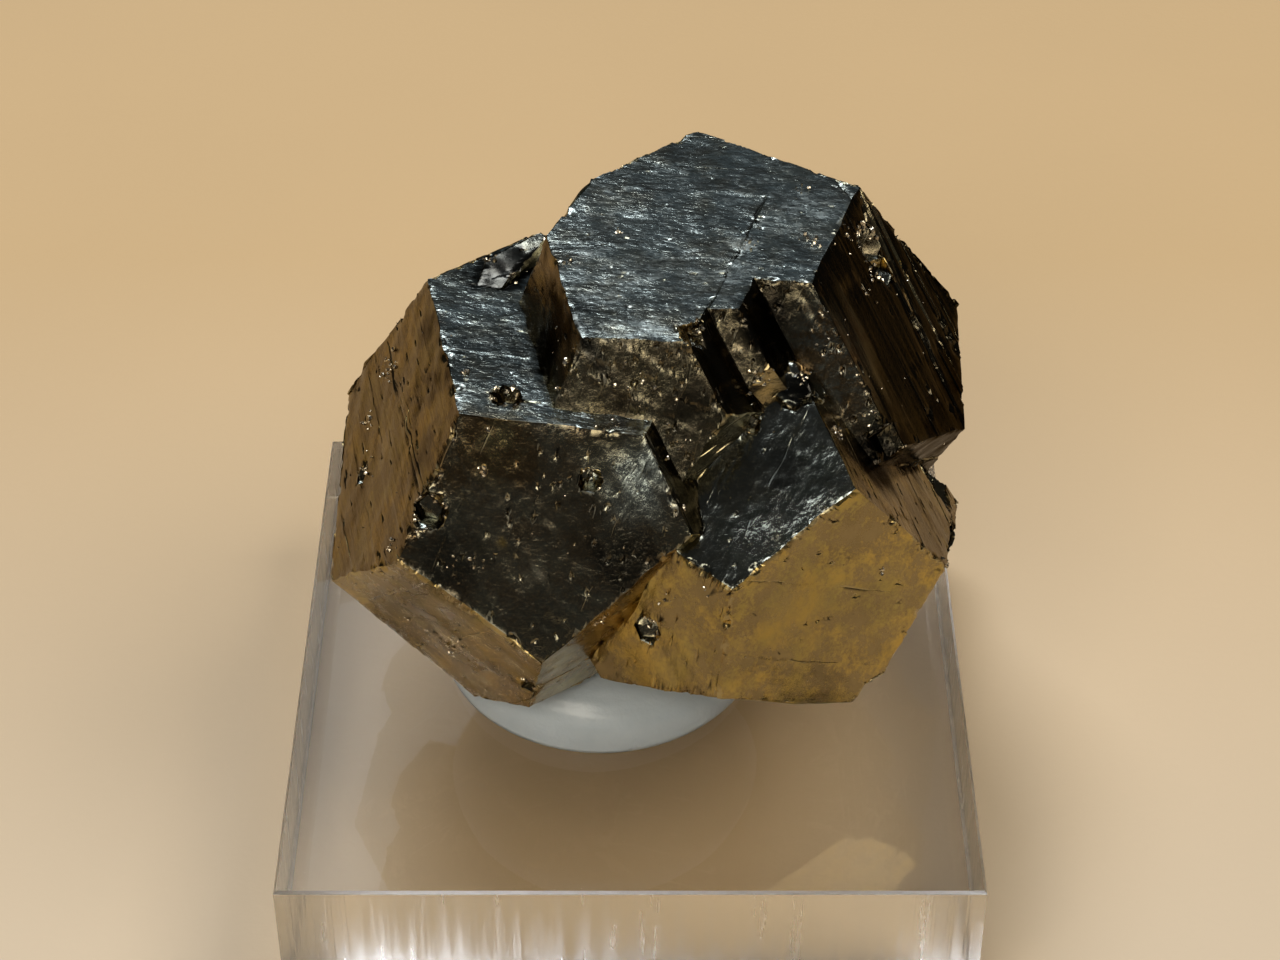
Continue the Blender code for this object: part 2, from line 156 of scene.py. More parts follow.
class Surface(Enum):
    """The kinds of face that the crystals have."""

    STREAKED = Relief(
        rows=(0.13, 0.22), column=0.24, ripple=0.02, ripple_width=0.3, ripple_length=0.62, bands=(2.0, 6.0),
        depths=(0.0, 0.0, 0.008), stretch=(1.0, 4.0), tilt=0.3, swell=0.16, pits=0.12, pit_size=(0.06, 0.16),
        short_streaks=1.0, long_streaks=0.0, speckle=0.3, brown=0.0, cool=1.0, satin=0.06,
    )
    GILT_LATHS = Relief(
        rows=(0.14, 0.25), column=0.42, ripple=0.01, ripple_width=0.3, ripple_length=3.2, bands=(1.0, 4.0),
        depths=(0.0, 0.0, 0.008, 0.04), stretch=(2.0, 6.0), tilt=0.4, pits=0.3, pit_size=(0.05, 0.12),
        pit_reach=8.0, short_streaks=0.0, long_streaks=1.0, speckle=0.2, brown=0.6, cool=0.0, satin=0.12, dark=0.4,
    )
    DARK_LATHS = Relief(
        rows=(0.15, 0.27), column=0.48, ripple=0.01, ripple_width=0.3, ripple_length=3.6, bands=(1.4, 4.5),
        depths=(0.0, 0.0, 0.04, 0.08), stretch=(3.0, 12.0), tilt=0.3, pits=0.05, pit_size=(0.08, 0.18),
        pit_reach=4.0, short_streaks=0.0, long_streaks=0.3, speckle=0.2, brown=0.4, cool=0.35, satin=0.0, dark=0.95,
    )
    DARK_PLAIN = Relief(
        rows=(0.14, 0.23), column=0.27, ripple=0.02, ripple_width=0.45, ripple_length=0.6, bands=(3.0, 7.0),
        depths=(0.0, 0.0, 0.0, 0.02), stretch=(1.0, 3.0), tilt=0.3, swell=0.14, pits=0.42, pit_size=(0.06, 0.2),
        pit_reach=1.5, short_streaks=0.12, long_streaks=0.0, speckle=0.42, brown=0.4, cool=0.7, satin=0.04, dark=0.25,
    )
    GILT_PLAIN = Relief(
        rows=(0.17, 0.28), column=0.34, ripple=0.01, ripple_width=0.5, ripple_length=0.6, bands=(5.0, 9.0),
        depths=(0.0, 0.0, 0.02), stretch=(2.0, 5.0), tilt=0.3, swell=0.06, pits=0.26, pit_size=(0.04, 0.14),
        pit_reach=1.6, short_streaks=0.0, long_streaks=0.0, speckle=0.15, brown=0.6, cool=0.0, satin=0.28,
    )
    CRUMBLED = Relief(
        rows=(0.14, 0.21), column=0.21, ripple=0.028, ripple_width=0.6, ripple_length=0.8, bands=(0.8, 2.4),
        depths=(0.0, 0.05, 0.1), stretch=(0.6, 2.4), tilt=2.5, pits=0.45, pit_size=(0.08, 0.26),
        pit_reach=1.6, short_streaks=0.2, long_streaks=0.0, speckle=0.6, brown=0.4, cool=0.5, satin=0.15, dark=0.52,
    )
    SCRATCHED = Relief(
        rows=(0.13, 0.21), column=0.25, ripple=0.022, ripple_width=0.26, ripple_length=0.5, bands=(2.0, 5.0),
        depths=(0.0, 0.015), stretch=(1.5, 6.0), tilt=0.8, swell=0.12, pits=0.2, pit_size=(0.06, 0.18),
        pit_reach=2.0, short_streaks=0.2, long_streaks=0.0, speckle=0.28, brown=0.1, cool=0.9, satin=0.0, dark=0.45,
    )
    BROKEN = Relief(
        rows=(0.13, 0.2), column=0.19, ripple=0.04, ripple_width=0.4, ripple_length=0.4, bands=(0.6, 1.4),
        depths=(0.0, 0.03, 0.07), stretch=(0.4, 1.6), tilt=3.0, swell=0.12, pits=0.4, pit_size=(0.1, 0.3),
        pit_reach=1.5, short_streaks=0.2, long_streaks=0.0, speckle=0.4, brown=0.3, cool=0.5, satin=0.0, dark=0.5,
    )
    BEHIND = Relief(
        rows=(0.26, 0.42), column=0.75, ripple=0.02, ripple_width=0.34, depths=(0.0, 0.03, 0.06), tilt=0.8, pits=0.03,
    )
    HIDDEN = Relief(
        rows=(0.9, 1.4), column=1.2, ripple=0.02, ripple_width=1.0, ripple_length=1.0, bands=(4.0, 8.0),
        depths=(0.0,), tilt=0.0, pits=0.0,
    )


@dataclass(frozen=True)
class Crystal:
    """One large crystal of the cluster.

    Attributes:
        turn: Turn of its lattice about X, then Y, then Z, in degrees.
        surfaces: The kind of surface on each of its faces that the front view shows.
    """

    turn: Triple
    surfaces: dict[Form, Surface]

    def normal(self, form: Form) -> Vector:
        """Outward direction of one face."""
        rotation = Euler([math.radians(angle) for angle in self.turn], "XYZ").to_matrix()
        return (rotation @ Vector(form.value)).normalized()

    def along(self, form: Form) -> Vector:
        """Direction of the striae on one face."""
        return self.normal(form).cross(self.normal(form.partner())).normalized()


LEFT_CRYSTAL = Crystal(
    (59.9, -4.3, -108.3),
    {
        Form.TOP: Surface.STREAKED,
        Form.LEFT: Surface.GILT_LATHS,
        Form.FRONT: Surface.DARK_PLAIN,
        Form.LOWER_LEFT: Surface.GILT_PLAIN,
        Form.LOWER_RIGHT: Surface.GILT_PLAIN,
        Form.RIGHT: Surface.DARK_LATHS,
    },
)
UPPER_CRYSTAL = Crystal(
    (61.9, -2.9, -107.1),
    {
        Form.TOP: Surface.STREAKED,
        Form.LEFT: Surface.GILT_LATHS,
        Form.FRONT: Surface.CRUMBLED,
        Form.RIGHT: Surface.DARK_LATHS,
        Form.LOWER_RIGHT: Surface.DARK_LATHS,
    },
)
LOWER_CRYSTAL = Crystal(
    (77.1, -37.8, -121.1),
    {
        Form.FRONT: Surface.SCRATCHED,
        Form.LOWER_RIGHT: Surface.GILT_PLAIN,
        Form.LOWER_LEFT: Surface.GILT_PLAIN,
        Form.RIGHT: Surface.GILT_LATHS,
    },
)


def lattice_values(across: np.ndarray, along: np.ndarray, seed: int) -> np.ndarray:
    """Repeatable even values for the points of a whole-number grid.

    Args:
        across: Whole numbers across the grid.
        along: Whole numbers along the grid.
        seed: Which of the repeatable patterns to read.

    Returns:
        One value from 0 to 1 for each point.
    """
    first, second, third, last = SCATTER
    mask = 0xFFFFFFFF
    mixed = (across * first + along * second + seed * third) & mask
    mixed = ((mixed ^ (mixed >> 13)) * last) & mask
    mixed = mixed ^ (mixed >> 16)
    return (mixed & 0xFFFF) / 65535.0


def smooth_noise(across: np.ndarray, along: np.ndarray, seed: int) -> np.ndarray:
    """Smooth values between the points of the repeatable grid.

    Args:
        across: Coordinates across, one unit for each change of value.
        along: Coordinates along, one unit for each change of value.
        seed: Which of the repeatable patterns to read.

    Returns:
        One value from -1 to 1 for each point.
    """
    low_across = np.floor(across).astype(np.int64)
    low_along = np.floor(along).astype(np.int64)
    part_across = across - low_across
    part_along = along - low_along
    part_across = part_across * part_across * (3 - 2 * part_across)
    part_along = part_along * part_along * (3 - 2 * part_along)
    near = lattice_values(low_across, low_along, seed) * (1 - part_across)
    near += lattice_values(low_across + 1, low_along, seed) * part_across
    far = lattice_values(low_across, low_along + 1, seed) * (1 - part_across)
    far += lattice_values(low_across + 1, low_along + 1, seed) * part_across
    return 2 * (near * (1 - part_along) + far * part_along) - 1


def uneven(places: np.ndarray, width: float, seed: int) -> np.ndarray:
    """Smooth values for places in space.

    Args:
        places: The places, one row each.
        width: Distance over which the value changes.
        seed: Which of the repeatable patterns to read.

    Returns:
        One value from -1 to 1 for each place.
    """
    x, y, z = (places / width).T
    return smooth_noise(x + SKEW[0] * z, y + SKEW[1] * z, seed)


def working_copy(node: str) -> Shape:
    """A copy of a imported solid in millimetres, with its corners joined.

    Args:
        node: Name of the solid.

    Returns:
        The copy.
    """
    shape = bmesh.new()
    shape.from_mesh(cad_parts[node].data)
    bmesh.ops.scale(shape, verts=shape.verts, vec=(1 / MM, 1 / MM, 1 / MM))
    bmesh.ops.remove_doubles(shape, verts=shape.verts, dist=WELD)
    return shape


def to_triangles(shape: Shape) -> None:
    """Divides every face that has more than three corners."""
    bmesh.ops.triangulate(shape, faces=[face for face in shape.faces if len(face.verts) > 3])


def to_mesh(shape: Shape, name: str) -> bpy.types.Mesh:
    """The mesh of a finished working copy, which is then freed.

    Args:
        shape: The working copy.
        name: Name of the mesh.

    Returns:
        The mesh.
    """
    mesh = bpy.data.meshes.new(name)
    shape.to_mesh(mesh)
    shape.free()
    return mesh


def to_scene(name: str, content: bpy.types.ID) -> Object:
    """Puts a mesh, a light or a camera into the scene.

    Args:
        name: Name of the object.
        content: What it shows.

    Returns:
        The object.
    """
    made = bpy.data.objects.new(name, content)
    bpy.context.scene.collection.objects.link(made)
    return made


def search_tree(places: Sequence[Vector] | np.ndarray) -> kdtree.KDTree:
    """A tree that finds which of these places lie near a point.

    Args:
        places: The places.

    Returns:
        The tree, which gives each place its number in the list.
    """
    tree = kdtree.KDTree(len(places))
    for index, place in enumerate(places):
        tree.insert(place, index)
    tree.balance()
    return tree


@dataclass
class Region:
    """All the faces of the cluster that look one way, with the relief that they share.

    Attributes:
        number: Its place in the list of regions, which also seeds its relief.
        normal: Outward direction.
        along: Direction of the striae.
        relief: The relief of its surface.
        natural: Whether it is a face of one of the large crystals.
        area: Total area of its faces.
        ledges: Distances across the striae at which one growth layer meets the next.
        span: Lowest and highest point across and along.
    """

    number: int
    normal: Vector
    along: Vector
    relief: Relief
    natural: bool = False
    area: float = 0.0
    ledges: list[float] = field(default_factory=list)
    span: list[float] = field(default_factory=lambda: [1e9, -1e9, 1e9, -1e9])

    RISER = 0.018  # Half the width of the wall between two growth layers.
    FIRST_LAYER = (0.2, 1.0)  # Share of the least width that the first layer has.
    LEAST_ROW = 0.4  # Share of the least distance that a stria keeps from the next ledge.
    WAVE = (3.1, 4.3)  # Width and length of one broad wave.
    ROW_SEED = 1000
    LAYER_SEED = 7000
    MOST_LAYERS = 131  # Keeps the seeds of two regions' layers apart.

    @property
    def across(self) -> Vector:
        """Direction in the face that crosses the striae."""
        return self.along.cross(self.normal).normalized()

    def include(self, face: Face) -> None:
        """Counts a face in: its area and how far it reaches.

        Args:
            face: The face.
        """
        self.area += face.calc_area()
        across = [vertex.co.dot(self.across) for vertex in face.verts]
        along = [vertex.co.dot(self.along) for vertex in face.verts]
        low_across, high_across, low_along, high_along = self.span
        self.span = [
            min(low_across, *across),
            max(high_across, *across),
            min(low_along, *along),
            max(high_along, *along),
        ]

    def rows(self) -> list[float]:
        """Where striae cross the region: pairs of close rows at each ledge and single ones between.

        Returns:
            The rows' distances across the striae, lowest first.
        """
        chance = random.Random(self.ROW_SEED + self.number)
        low, high = self.span[0], self.span[1]
        found = []
        place = low + chance.uniform(*self.FIRST_LAYER) * self.relief.bands[0]
        start = low
        while start < high:
            end = min(place, high)
            position = start + self.RISER + chance.uniform(*self.relief.rows)
            while position < end - self.RISER - self.LEAST_ROW * self.relief.rows[0]:
                found.append(position)
                position += chance.uniform(*self.relief.rows)
            if place < high:
                self.ledges.append(place)
                found += [place - self.RISER, place + self.RISER]
            start = place
            place += chance.uniform(*self.relief.bands)
        return found

    def layer_depths(self, across: np.ndarray, along: np.ndarray) -> np.ndarray:
        """Depth of the growth layers, each broken into stretches of its own depth and lean.

        Args:
            across: Distances across the striae.
            along: Distances along the striae.

        Returns:
            Depth below the face at each point.
        """
        relief = self.relief
        edges = [self.span[0], *self.ledges, self.span[1]]
        band = np.searchsorted(np.array(self.ledges), across)
        depth = np.zeros(len(across))
        for index in range(len(edges) - 1):
            inside = band == index
            if not inside.any():
                continue
            chance = random.Random(self.LAYER_SEED + self.MOST_LAYERS * self.number + index)
            breaks = [self.span[2] + chance.uniform(0, relief.stretch[1])]
            while breaks[-1] < self.span[3]:
                breaks.append(breaks[-1] + chance.uniform(*relief.stretch))
            count = len(breaks) + 1
            levels = np.array([chance.choice(relief.depths) for _ in range(count)])
            lean = math.tan(math.radians(relief.tilt))
            leans = np.array([chance.uniform(-lean, lean) for _ in range(count)])
            middle = 0.5 * (edges[index] + edges[index + 1])
            width = edges[index + 1] - edges[index]
            stretch = np.searchsorted(np.array(breaks), along[inside])
            offset = across[inside] - middle
            depth[inside] = levels[stretch] + leans[stretch] * offset + abs(lean) * 0.5 * width
        return depth

    def depth(self, points: np.ndarray, calm: np.ndarray) -> np.ndarray:
        """How far each point lies below the plane of its face.

        Args:
            points: Places, one row each.
            calm: How smooth the surface is at each place, from 0 to 1.

        Returns:
            One depth for each point, never negative.
        """
        relief = self.relief
        across = points @ np.array(self.across)
        along = points @ np.array(self.along)
        total = self.layer_depths(across, along)
        fine = smooth_noise(across / relief.ripple_width, along / relief.ripple_length, 3 * self.number + 1)
        width, length = self.WAVE
        broad = smooth_noise(across / width, along / length, 3 * self.number + 2)
        total += relief.ripple * (1 + fine)
        return np.maximum(total * (1 - calm) + relief.swell * 0.5 * (1 + broad), 0.0)


@dataclass(frozen=True)
class Dent:
    """A pit in a face or a chip off an edge.

    Attributes:
        place: Its centre.
        facing: Outward direction of what it is cut into.
        along: Direction of its longer side.
        half_length: Half its length.
        half_width: Half its width.
        depth: How deep it goes.
        steep: How steep its walls are; 1 is a cone.
        reach: Least agreement of a point's own direction with the dent's.
        inner_shade: How dark it is painted inside, a painted shade.
    """

    place: Vector
    facing: Vector
    along: Vector
    half_length: float
    half_width: float
    depth: float
    steep: float = 2.5
    reach: float = 0.8
    inner_shade: float = 1.0

    MARGIN = 1.25  # Leaves room for the corners of its outline.
    SQUARENESS = 3  # 2 is an ellipse, and more is squarer.

    @property
    def radius(self) -> float:
        """Radius of the ball that holds the whole dent."""
        return self.MARGIN * max(self.half_length, self.half_width)

    def share(self, offset: Vector) -> float:
        """How much of the full depth a point takes, from the centre (1) to the rim (0).

        Args:
            offset: From the dent's centre to the point.

        Returns:
            The share.
        """
        across = self.along.cross(self.facing)
        length = abs(offset.dot(self.along)) / self.half_length
        width = abs(offset.dot(across)) / self.half_width
        distance = (length**self.SQUARENESS + width**self.SQUARENESS) ** (1 / self.SQUARENESS)
        return max(0.0, min(1.0, (1.0 - distance) * self.steep))


class StriaCutter:
    """Cuts every face of a solid into strips along its striae and divides the strips along their length.

    A point's station in a region is odd where the point lies on a stria and even between two.
    """

    NEAR = 0.004  # Distance under which a point lies on a stria.
    STEP = (0.8, 1.3)  # Distance between two points, as a share of the region's own.
    SHIFT = (-0.25, 0.25)  # How far a point is shifted, as a share of that distance.
    SEED = 5

    def __init__(self, solid: Shape, number: Layer, regions: list[Region]) -> None:
        """Reads the solid and the regions' striae.

        Args:
            solid: The solid, made of triangles.
            number: The layer that holds each face's region.
            regions: All the regions.
        """
        self.solid = solid
        self.number = number
        self.regions = regions
        self.rows = [region.rows() for region in regions]
        self.chance = random.Random(self.SEED)
        self.points = [corner.co.copy() for corner in solid.verts]
        self.marks: dict[int, list[tuple[int, dict[int, int]]]] = {}
        self.crossings: dict[tuple[int, int], list[int]] = {}

    def station(self, number: int, place: Vector) -> int:
        """Where a point lies among a region's striae.

        Args:
            number: The region.
            place: The point.

        Returns:
            The point's station.
        """
        rows = self.rows[number]
        height = place.dot(self.regions[number].across)
        after = bisect.bisect_left(rows, height)
        for near in (after - 1, after):
            if 0 <= near < len(rows) and abs(rows[near] - height) < self.NEAR:
                return 2 * near + 1
        return 2 * after

    @staticmethod
    def between(before: int, after: int) -> int:
        """The station of a point that lies between two others on a straight line."""
        lower = min(before, after)
        return before if before == after else lower + lower % 2

    def cuts(self, start: Vector, end: Vector, number: int) -> list[tuple[float, int, int]]:
        """Where a region's striae cross an edge.

        Args:
            start: One end of the edge.
            end: Its other end.
            number: The region.

        Returns:
            Each crossing's share of the edge, with the region and the stria's station.
        """
        across = self.regions[number].across
        low, high = sorted((self.station(number, start), self.station(number, end)))
        first, last = start.dot(across), end.dot(across)
        return [
            ((self.rows[number][station // 2] - first) / (last - first), number, station)
            for station in range(low + 1 + low % 2, high, 2)
        ]

    def divide(self, edge: bmesh.types.BMEdge) -> None:
        """Marks an edge where the striae on both its sides cross it, and wherever it stays long.

        Args:
            edge: The edge.
        """
        start, end = (corner.co for corner in edge.verts)
        length = (end - start).length
        numbers = sorted({face[self.number] for face in edge.link_faces})
        found = sorted(cut for number in numbers for cut in self.cuts(start, end, number))
        joined: list[Mark] = [(0.0, {n: self.station(n, start) for n in numbers})]
        for share, number, station in found:
            last_share, last_stations = joined[-1]
            if len(joined) > 1 and (share - last_share) * length < self.NEAR and number not in last_stations:
                last_stations[number] = station
            else:
                joined.append((share, {number: station}))
        joined.append((1.0, {n: self.station(n, end) for n in numbers}))
        step = min(self.regions[number].relief.column for number in numbers)
        filled = self.fill(joined, length, step)
        for number in numbers:
            self.settle(filled, number)
        self.marks[edge.index] = [(self.point(start.lerp(end, share)), stations) for share, stations in filled[1:-1]]

    def fill(self, marks: list[Mark], length: float, step: float) -> list[Mark]:
        """Adds marks where an edge would stay long.

        Args:
            marks: The marks so far, with both ends.
            length: The edge's length.
            step: About how far apart two marks may be.

        Returns:
            All the marks.
        """
        filled = [marks[0]]
        for (low, _), (high, stations) in zip(marks, marks[1:]):
            pieces = int((high - low) * length / (step * self.chance.uniform(*self.STEP)))
            for piece in range(1, pieces):
                share = (piece + self.chance.uniform(*self.SHIFT)) / pieces
                filled.append((low + (high - low) * share, {}))
            filled.append((high, stations))
        return filled

    def settle(self, marks: list[Mark], number: int) -> None:
        """Gives every mark its station in one region.

        Args:
            marks: The marks of one edge, with both ends.
            number: The region.
        """
        known = [index for index, (_, stations) in enumerate(marks) if number in stations]
        for before, after in zip(known, known[1:]):
            station = self.between(marks[before][1][number], marks[after][1][number])
            for index in range(before + 1, after):
                marks[index][1][number] = station

    def point(self, place: Vector) -> int:
        """Keeps a new point and returns its number."""
        self.points.append(place)
        return len(self.points) - 1

    def outline(self, face: Face) -> list[tuple[int, int]]:
        """All the points round a face, each with its station.

        Args:
            face: The face.

        Returns:
            The points in order.
        """
        number = face[self.number]
        ring = []
        for loop in face.loops:
            marks = self.marks[loop.edge.index]
            ordered = marks if loop.edge.verts[0] == loop.vert else reversed(marks)
            ring.append((loop.vert.index, self.station(number, loop.vert.co)))
            ring += [(point, stations[number]) for point, stations in ordered]
        return ring

    def crossing(self, face: Face, start: tuple[int, int], end: tuple[int, int]) -> list[int]:
        """Points along a stria from one side of a face to the other.

        Args:
            face: The face.
            start: The point and station where the stria starts.
            end: The point and station where it ends.

        Returns:
            The points between, in order.
        """
        key = (face.index, start[1])
        if key in self.crossings:
            return self.crossings[key][::-1]
        first, last = self.points[start[0]], self.points[end[0]]
        step = self.regions[face[self.number]].relief.column * self.chance.uniform(*self.STEP)
        pieces = int((last - first).length / step)
        shares = [(piece + self.chance.uniform(*self.SHIFT)) / pieces for piece in range(1, pieces)]
        self.crossings[key] = [self.point(first.lerp(last, share)) for share in shares]
        return self.crossings[key]

    def strips(self, face: Face) -> Iterator[list[int]]:
        """The strips of one face.

        Args:
            face: The face.

        Yields:
            The points round each strip.
        """
        ring = self.outline(face)
        stations = [station for _, station in ring]
        low, high = min(stations), max(stations)
        for middle in range(low + low % 2, high + 1, 2):
            inside = [index for index, station in enumerate(stations) if abs(station - middle) <= 1]
            if len({stations[index] for index in inside}) < 2 and middle not in stations:
                continue
            strip: list[int] = []
            for index, following in zip(inside, [*inside[1:], inside[0]]):
                strip.append(ring[index][0])
                if (index + 1) % len(ring) != following:
                    strip += self.crossing(face, ring[index], ring[following])
            if len(strip) > 2:
                yield strip

    def cut(self) -> tuple[Shape, Layer]:
        """Cuts the whole solid.

        Returns:
            The new mesh of triangles and the layer that holds each face's region.
        """
        for elements in (self.solid.verts, self.solid.edges, self.solid.faces):
            elements.index_update()
        for edge in self.solid.edges:
            self.divide(edge)
        strips = [(strip, face[self.number]) for face in self.solid.faces for strip in self.strips(face)]
        fine = bmesh.new()
        number = fine.faces.layers.int.new("region")
        corners = [fine.verts.new(place) for place in self.points]
        copies = Counter(frozenset(strip) for strip, _ in strips)
        for strip, region in strips:
            if copies[frozenset(strip)] == 1:
                fine.faces.new([corners[point] for point in strip])[number] = region
        to_triangles(fine)
        fine.normal_update()
        return fine, number


@dataclass(frozen=True)
class Patch:
    """A place where the finish of the crystals differs.

    Attributes:
        place: Its centre.
        radius: How far it reaches.
        satin: How much it is matted.
        speckle: How many specks it adds.
        brown: How far it has browned.
        cool: How far it has turned grey.
        short_streaks: How many short streaks it adds.
        dark: How far it paints the metal darker, a painted dark reflection; below nought, how far it paints it paler.
        calm: How smooth it is.
    """

    place: Triple
    radius: float
    satin: float = 0.0
    speckle: float = 0.0
    brown: float = 0.0
    cool: float = 0.0
    short_streaks: float = 0.0
    # Painted dark reflection; below nought it paints the metal paler.
    dark: float = 0.0
    calm: float = 0.0

    FADE = 1.6  # How steeply it fades at its rim.

    def weight(self, places: np.ndarray, ragged: np.ndarray) -> np.ndarray:
        """How strongly the patch acts, from its centre (1) to its ragged rim (0).

        Args:
            places: Places to ask about, one row each.
            ragged: How far the rim is moved at each place, as a share of the radius.

        Returns:
            One weight for each place.
        """
        distance = np.linalg.norm(places - np.array(self.place), axis=1) / self.radius
        return np.clip(self.FADE * (1.0 - distance + ragged), 0.0, 1.0)


# Each patch's dark value is painted dark reflection; below nought it paints the metal paler.
PATCHES = (
    Patch((5.7, 2.7, 46.9), 4.2, satin=0.14),
    Patch((-1.5, 1.5, 47.2), 5.0, satin=0.13),
    Patch((-2.2, 10.3, 46.7), 4.0, satin=0.05),
    Patch((13.2, 11.4, 46.0), 4.0, satin=0.13, speckle=0.25),
    Patch((-9.5, -1.0, 42.8), 7.0, satin=-0.06, dark=0.36),
    Patch((23.0, 2.5, 31.5), 3.2, dark=0.9),
    Patch((25.1, 6.5, 31.8), 3.4, dark=0.9),
    Patch((8.3, 6.4, 46.4), 1.3, satin=0.35, speckle=0.8),
    Patch((0.0, -4.4, 47.2), 2.4, satin=0.2, speckle=0.4),
    Patch((3.0, -4.4, 47.2), 2.2, satin=0.2, speckle=0.4),
    Patch((7.5, 18.6, 46.0), 4.5, short_streaks=-0.35),
    Patch((-8.9, 9.3, 42.8), 3.0, satin=-0.5, speckle=-0.5, short_streaks=-0.6, dark=1.0, calm=0.8),
    Patch((-10.5, 7.7, 42.9), 2.3, satin=-0.4, dark=0.8),
    Patch((12.0, -15.0, 28.0), 10.0, dark=0.16),
    Patch((-1.0, -9.6, 42.6), 2.4, short_streaks=-0.5, dark=0.5, cool=-0.3),
    Patch((11.5, -4.0, 41.5), 1.8, dark=0.9, speckle=-0.3),
    Patch((10.5, -8.0, 38.8), 3.2, dark=0.25),
    Patch((9.0, -14.1, 35.7), 2.6, speckle=0.35, dark=-0.35),
    Patch((11.6, -12.8, 36.7), 2.2, speckle=0.35, dark=-0.35),
    Patch((13.4, -12.0, 37.3), 1.6, speckle=0.3, dark=-0.3),
    Patch((0.0, -11.0, 41.0), 3.2, satin=0.04, brown=-0.35, cool=0.2, short_streaks=0.4, dark=-0.18),
    Patch((0.6, -12.3, 38.6), 3.0, satin=0.04, brown=-0.35, cool=0.2, short_streaks=0.4, dark=-0.15),
    Patch((-4.0, -12.6, 37.5), 4.0, speckle=-0.15, dark=0.15),
    Patch((-10.0, -10.3, 41.0), 3.6, brown=0.35, cool=-0.4),
    Patch((0.0, -14.4, 34.5), 3.0, speckle=0.3, dark=0.6),
    Patch((-12.5, -13.2, 33.5), 3.0, dark=0.45),
    Patch((-6.3, -16.1, 30.4), 2.6, dark=0.3, satin=0.06),
    Patch((-6.6, -14.6, 33.3), 1.2, satin=0.25),
    Patch((-8.8, -13.4, 35.3), 0.6, satin=0.2, brown=-0.6, cool=-0.6),
    Patch((16.0, -11.6, 35.0), 3.4, brown=0.4),
    Patch((11.9, -14.6, 29.5), 4.2, brown=-0.3),
    Patch((13.5, -14.6, 22.4), 2.2, brown=0.5, dark=0.12),
    Patch((7.6, -17.1, 31.5), 2.4, brown=0.3),
    Patch((17.6, -5.0, 35.0), 3.0, dark=0.75, brown=0.4, satin=-0.1),
    Patch((21.5, -4.6, 30.5), 4.5, dark=0.14, brown=0.8),
    Patch((-6.1, 3.6, 45.7), 3.0, brown=0.4),
    Patch((-4.9, -3.4, 45.2), 4.6, dark=0.52, cool=0.3),
    Patch((-14.4, 2.6, 41.6), 2.2, dark=0.22, brown=0.5),
    Patch((-14.2, -3.2, 41.0), 2.4, dark=0.22, brown=0.5),
    Patch((-14.8, -7.9, 38.2), 2.4, dark=0.22, brown=0.5),
    Patch((-16.4, -11.7, 34.0), 2.4, brown=0.5, dark=0.1),
    Patch((4.3, -8.1, 43.2), 2.6, dark=0.35, speckle=-0.2),
    Patch((9.5, -1.0, 44.5), 4.0, dark=0.6, satin=-0.15, speckle=-0.3, calm=0.7),
    Patch((14.5, -1.0, 41.5), 5.0, dark=-0.38, brown=0.3, cool=0.4, satin=-0.1, speckle=-0.35, calm=0.85),
)


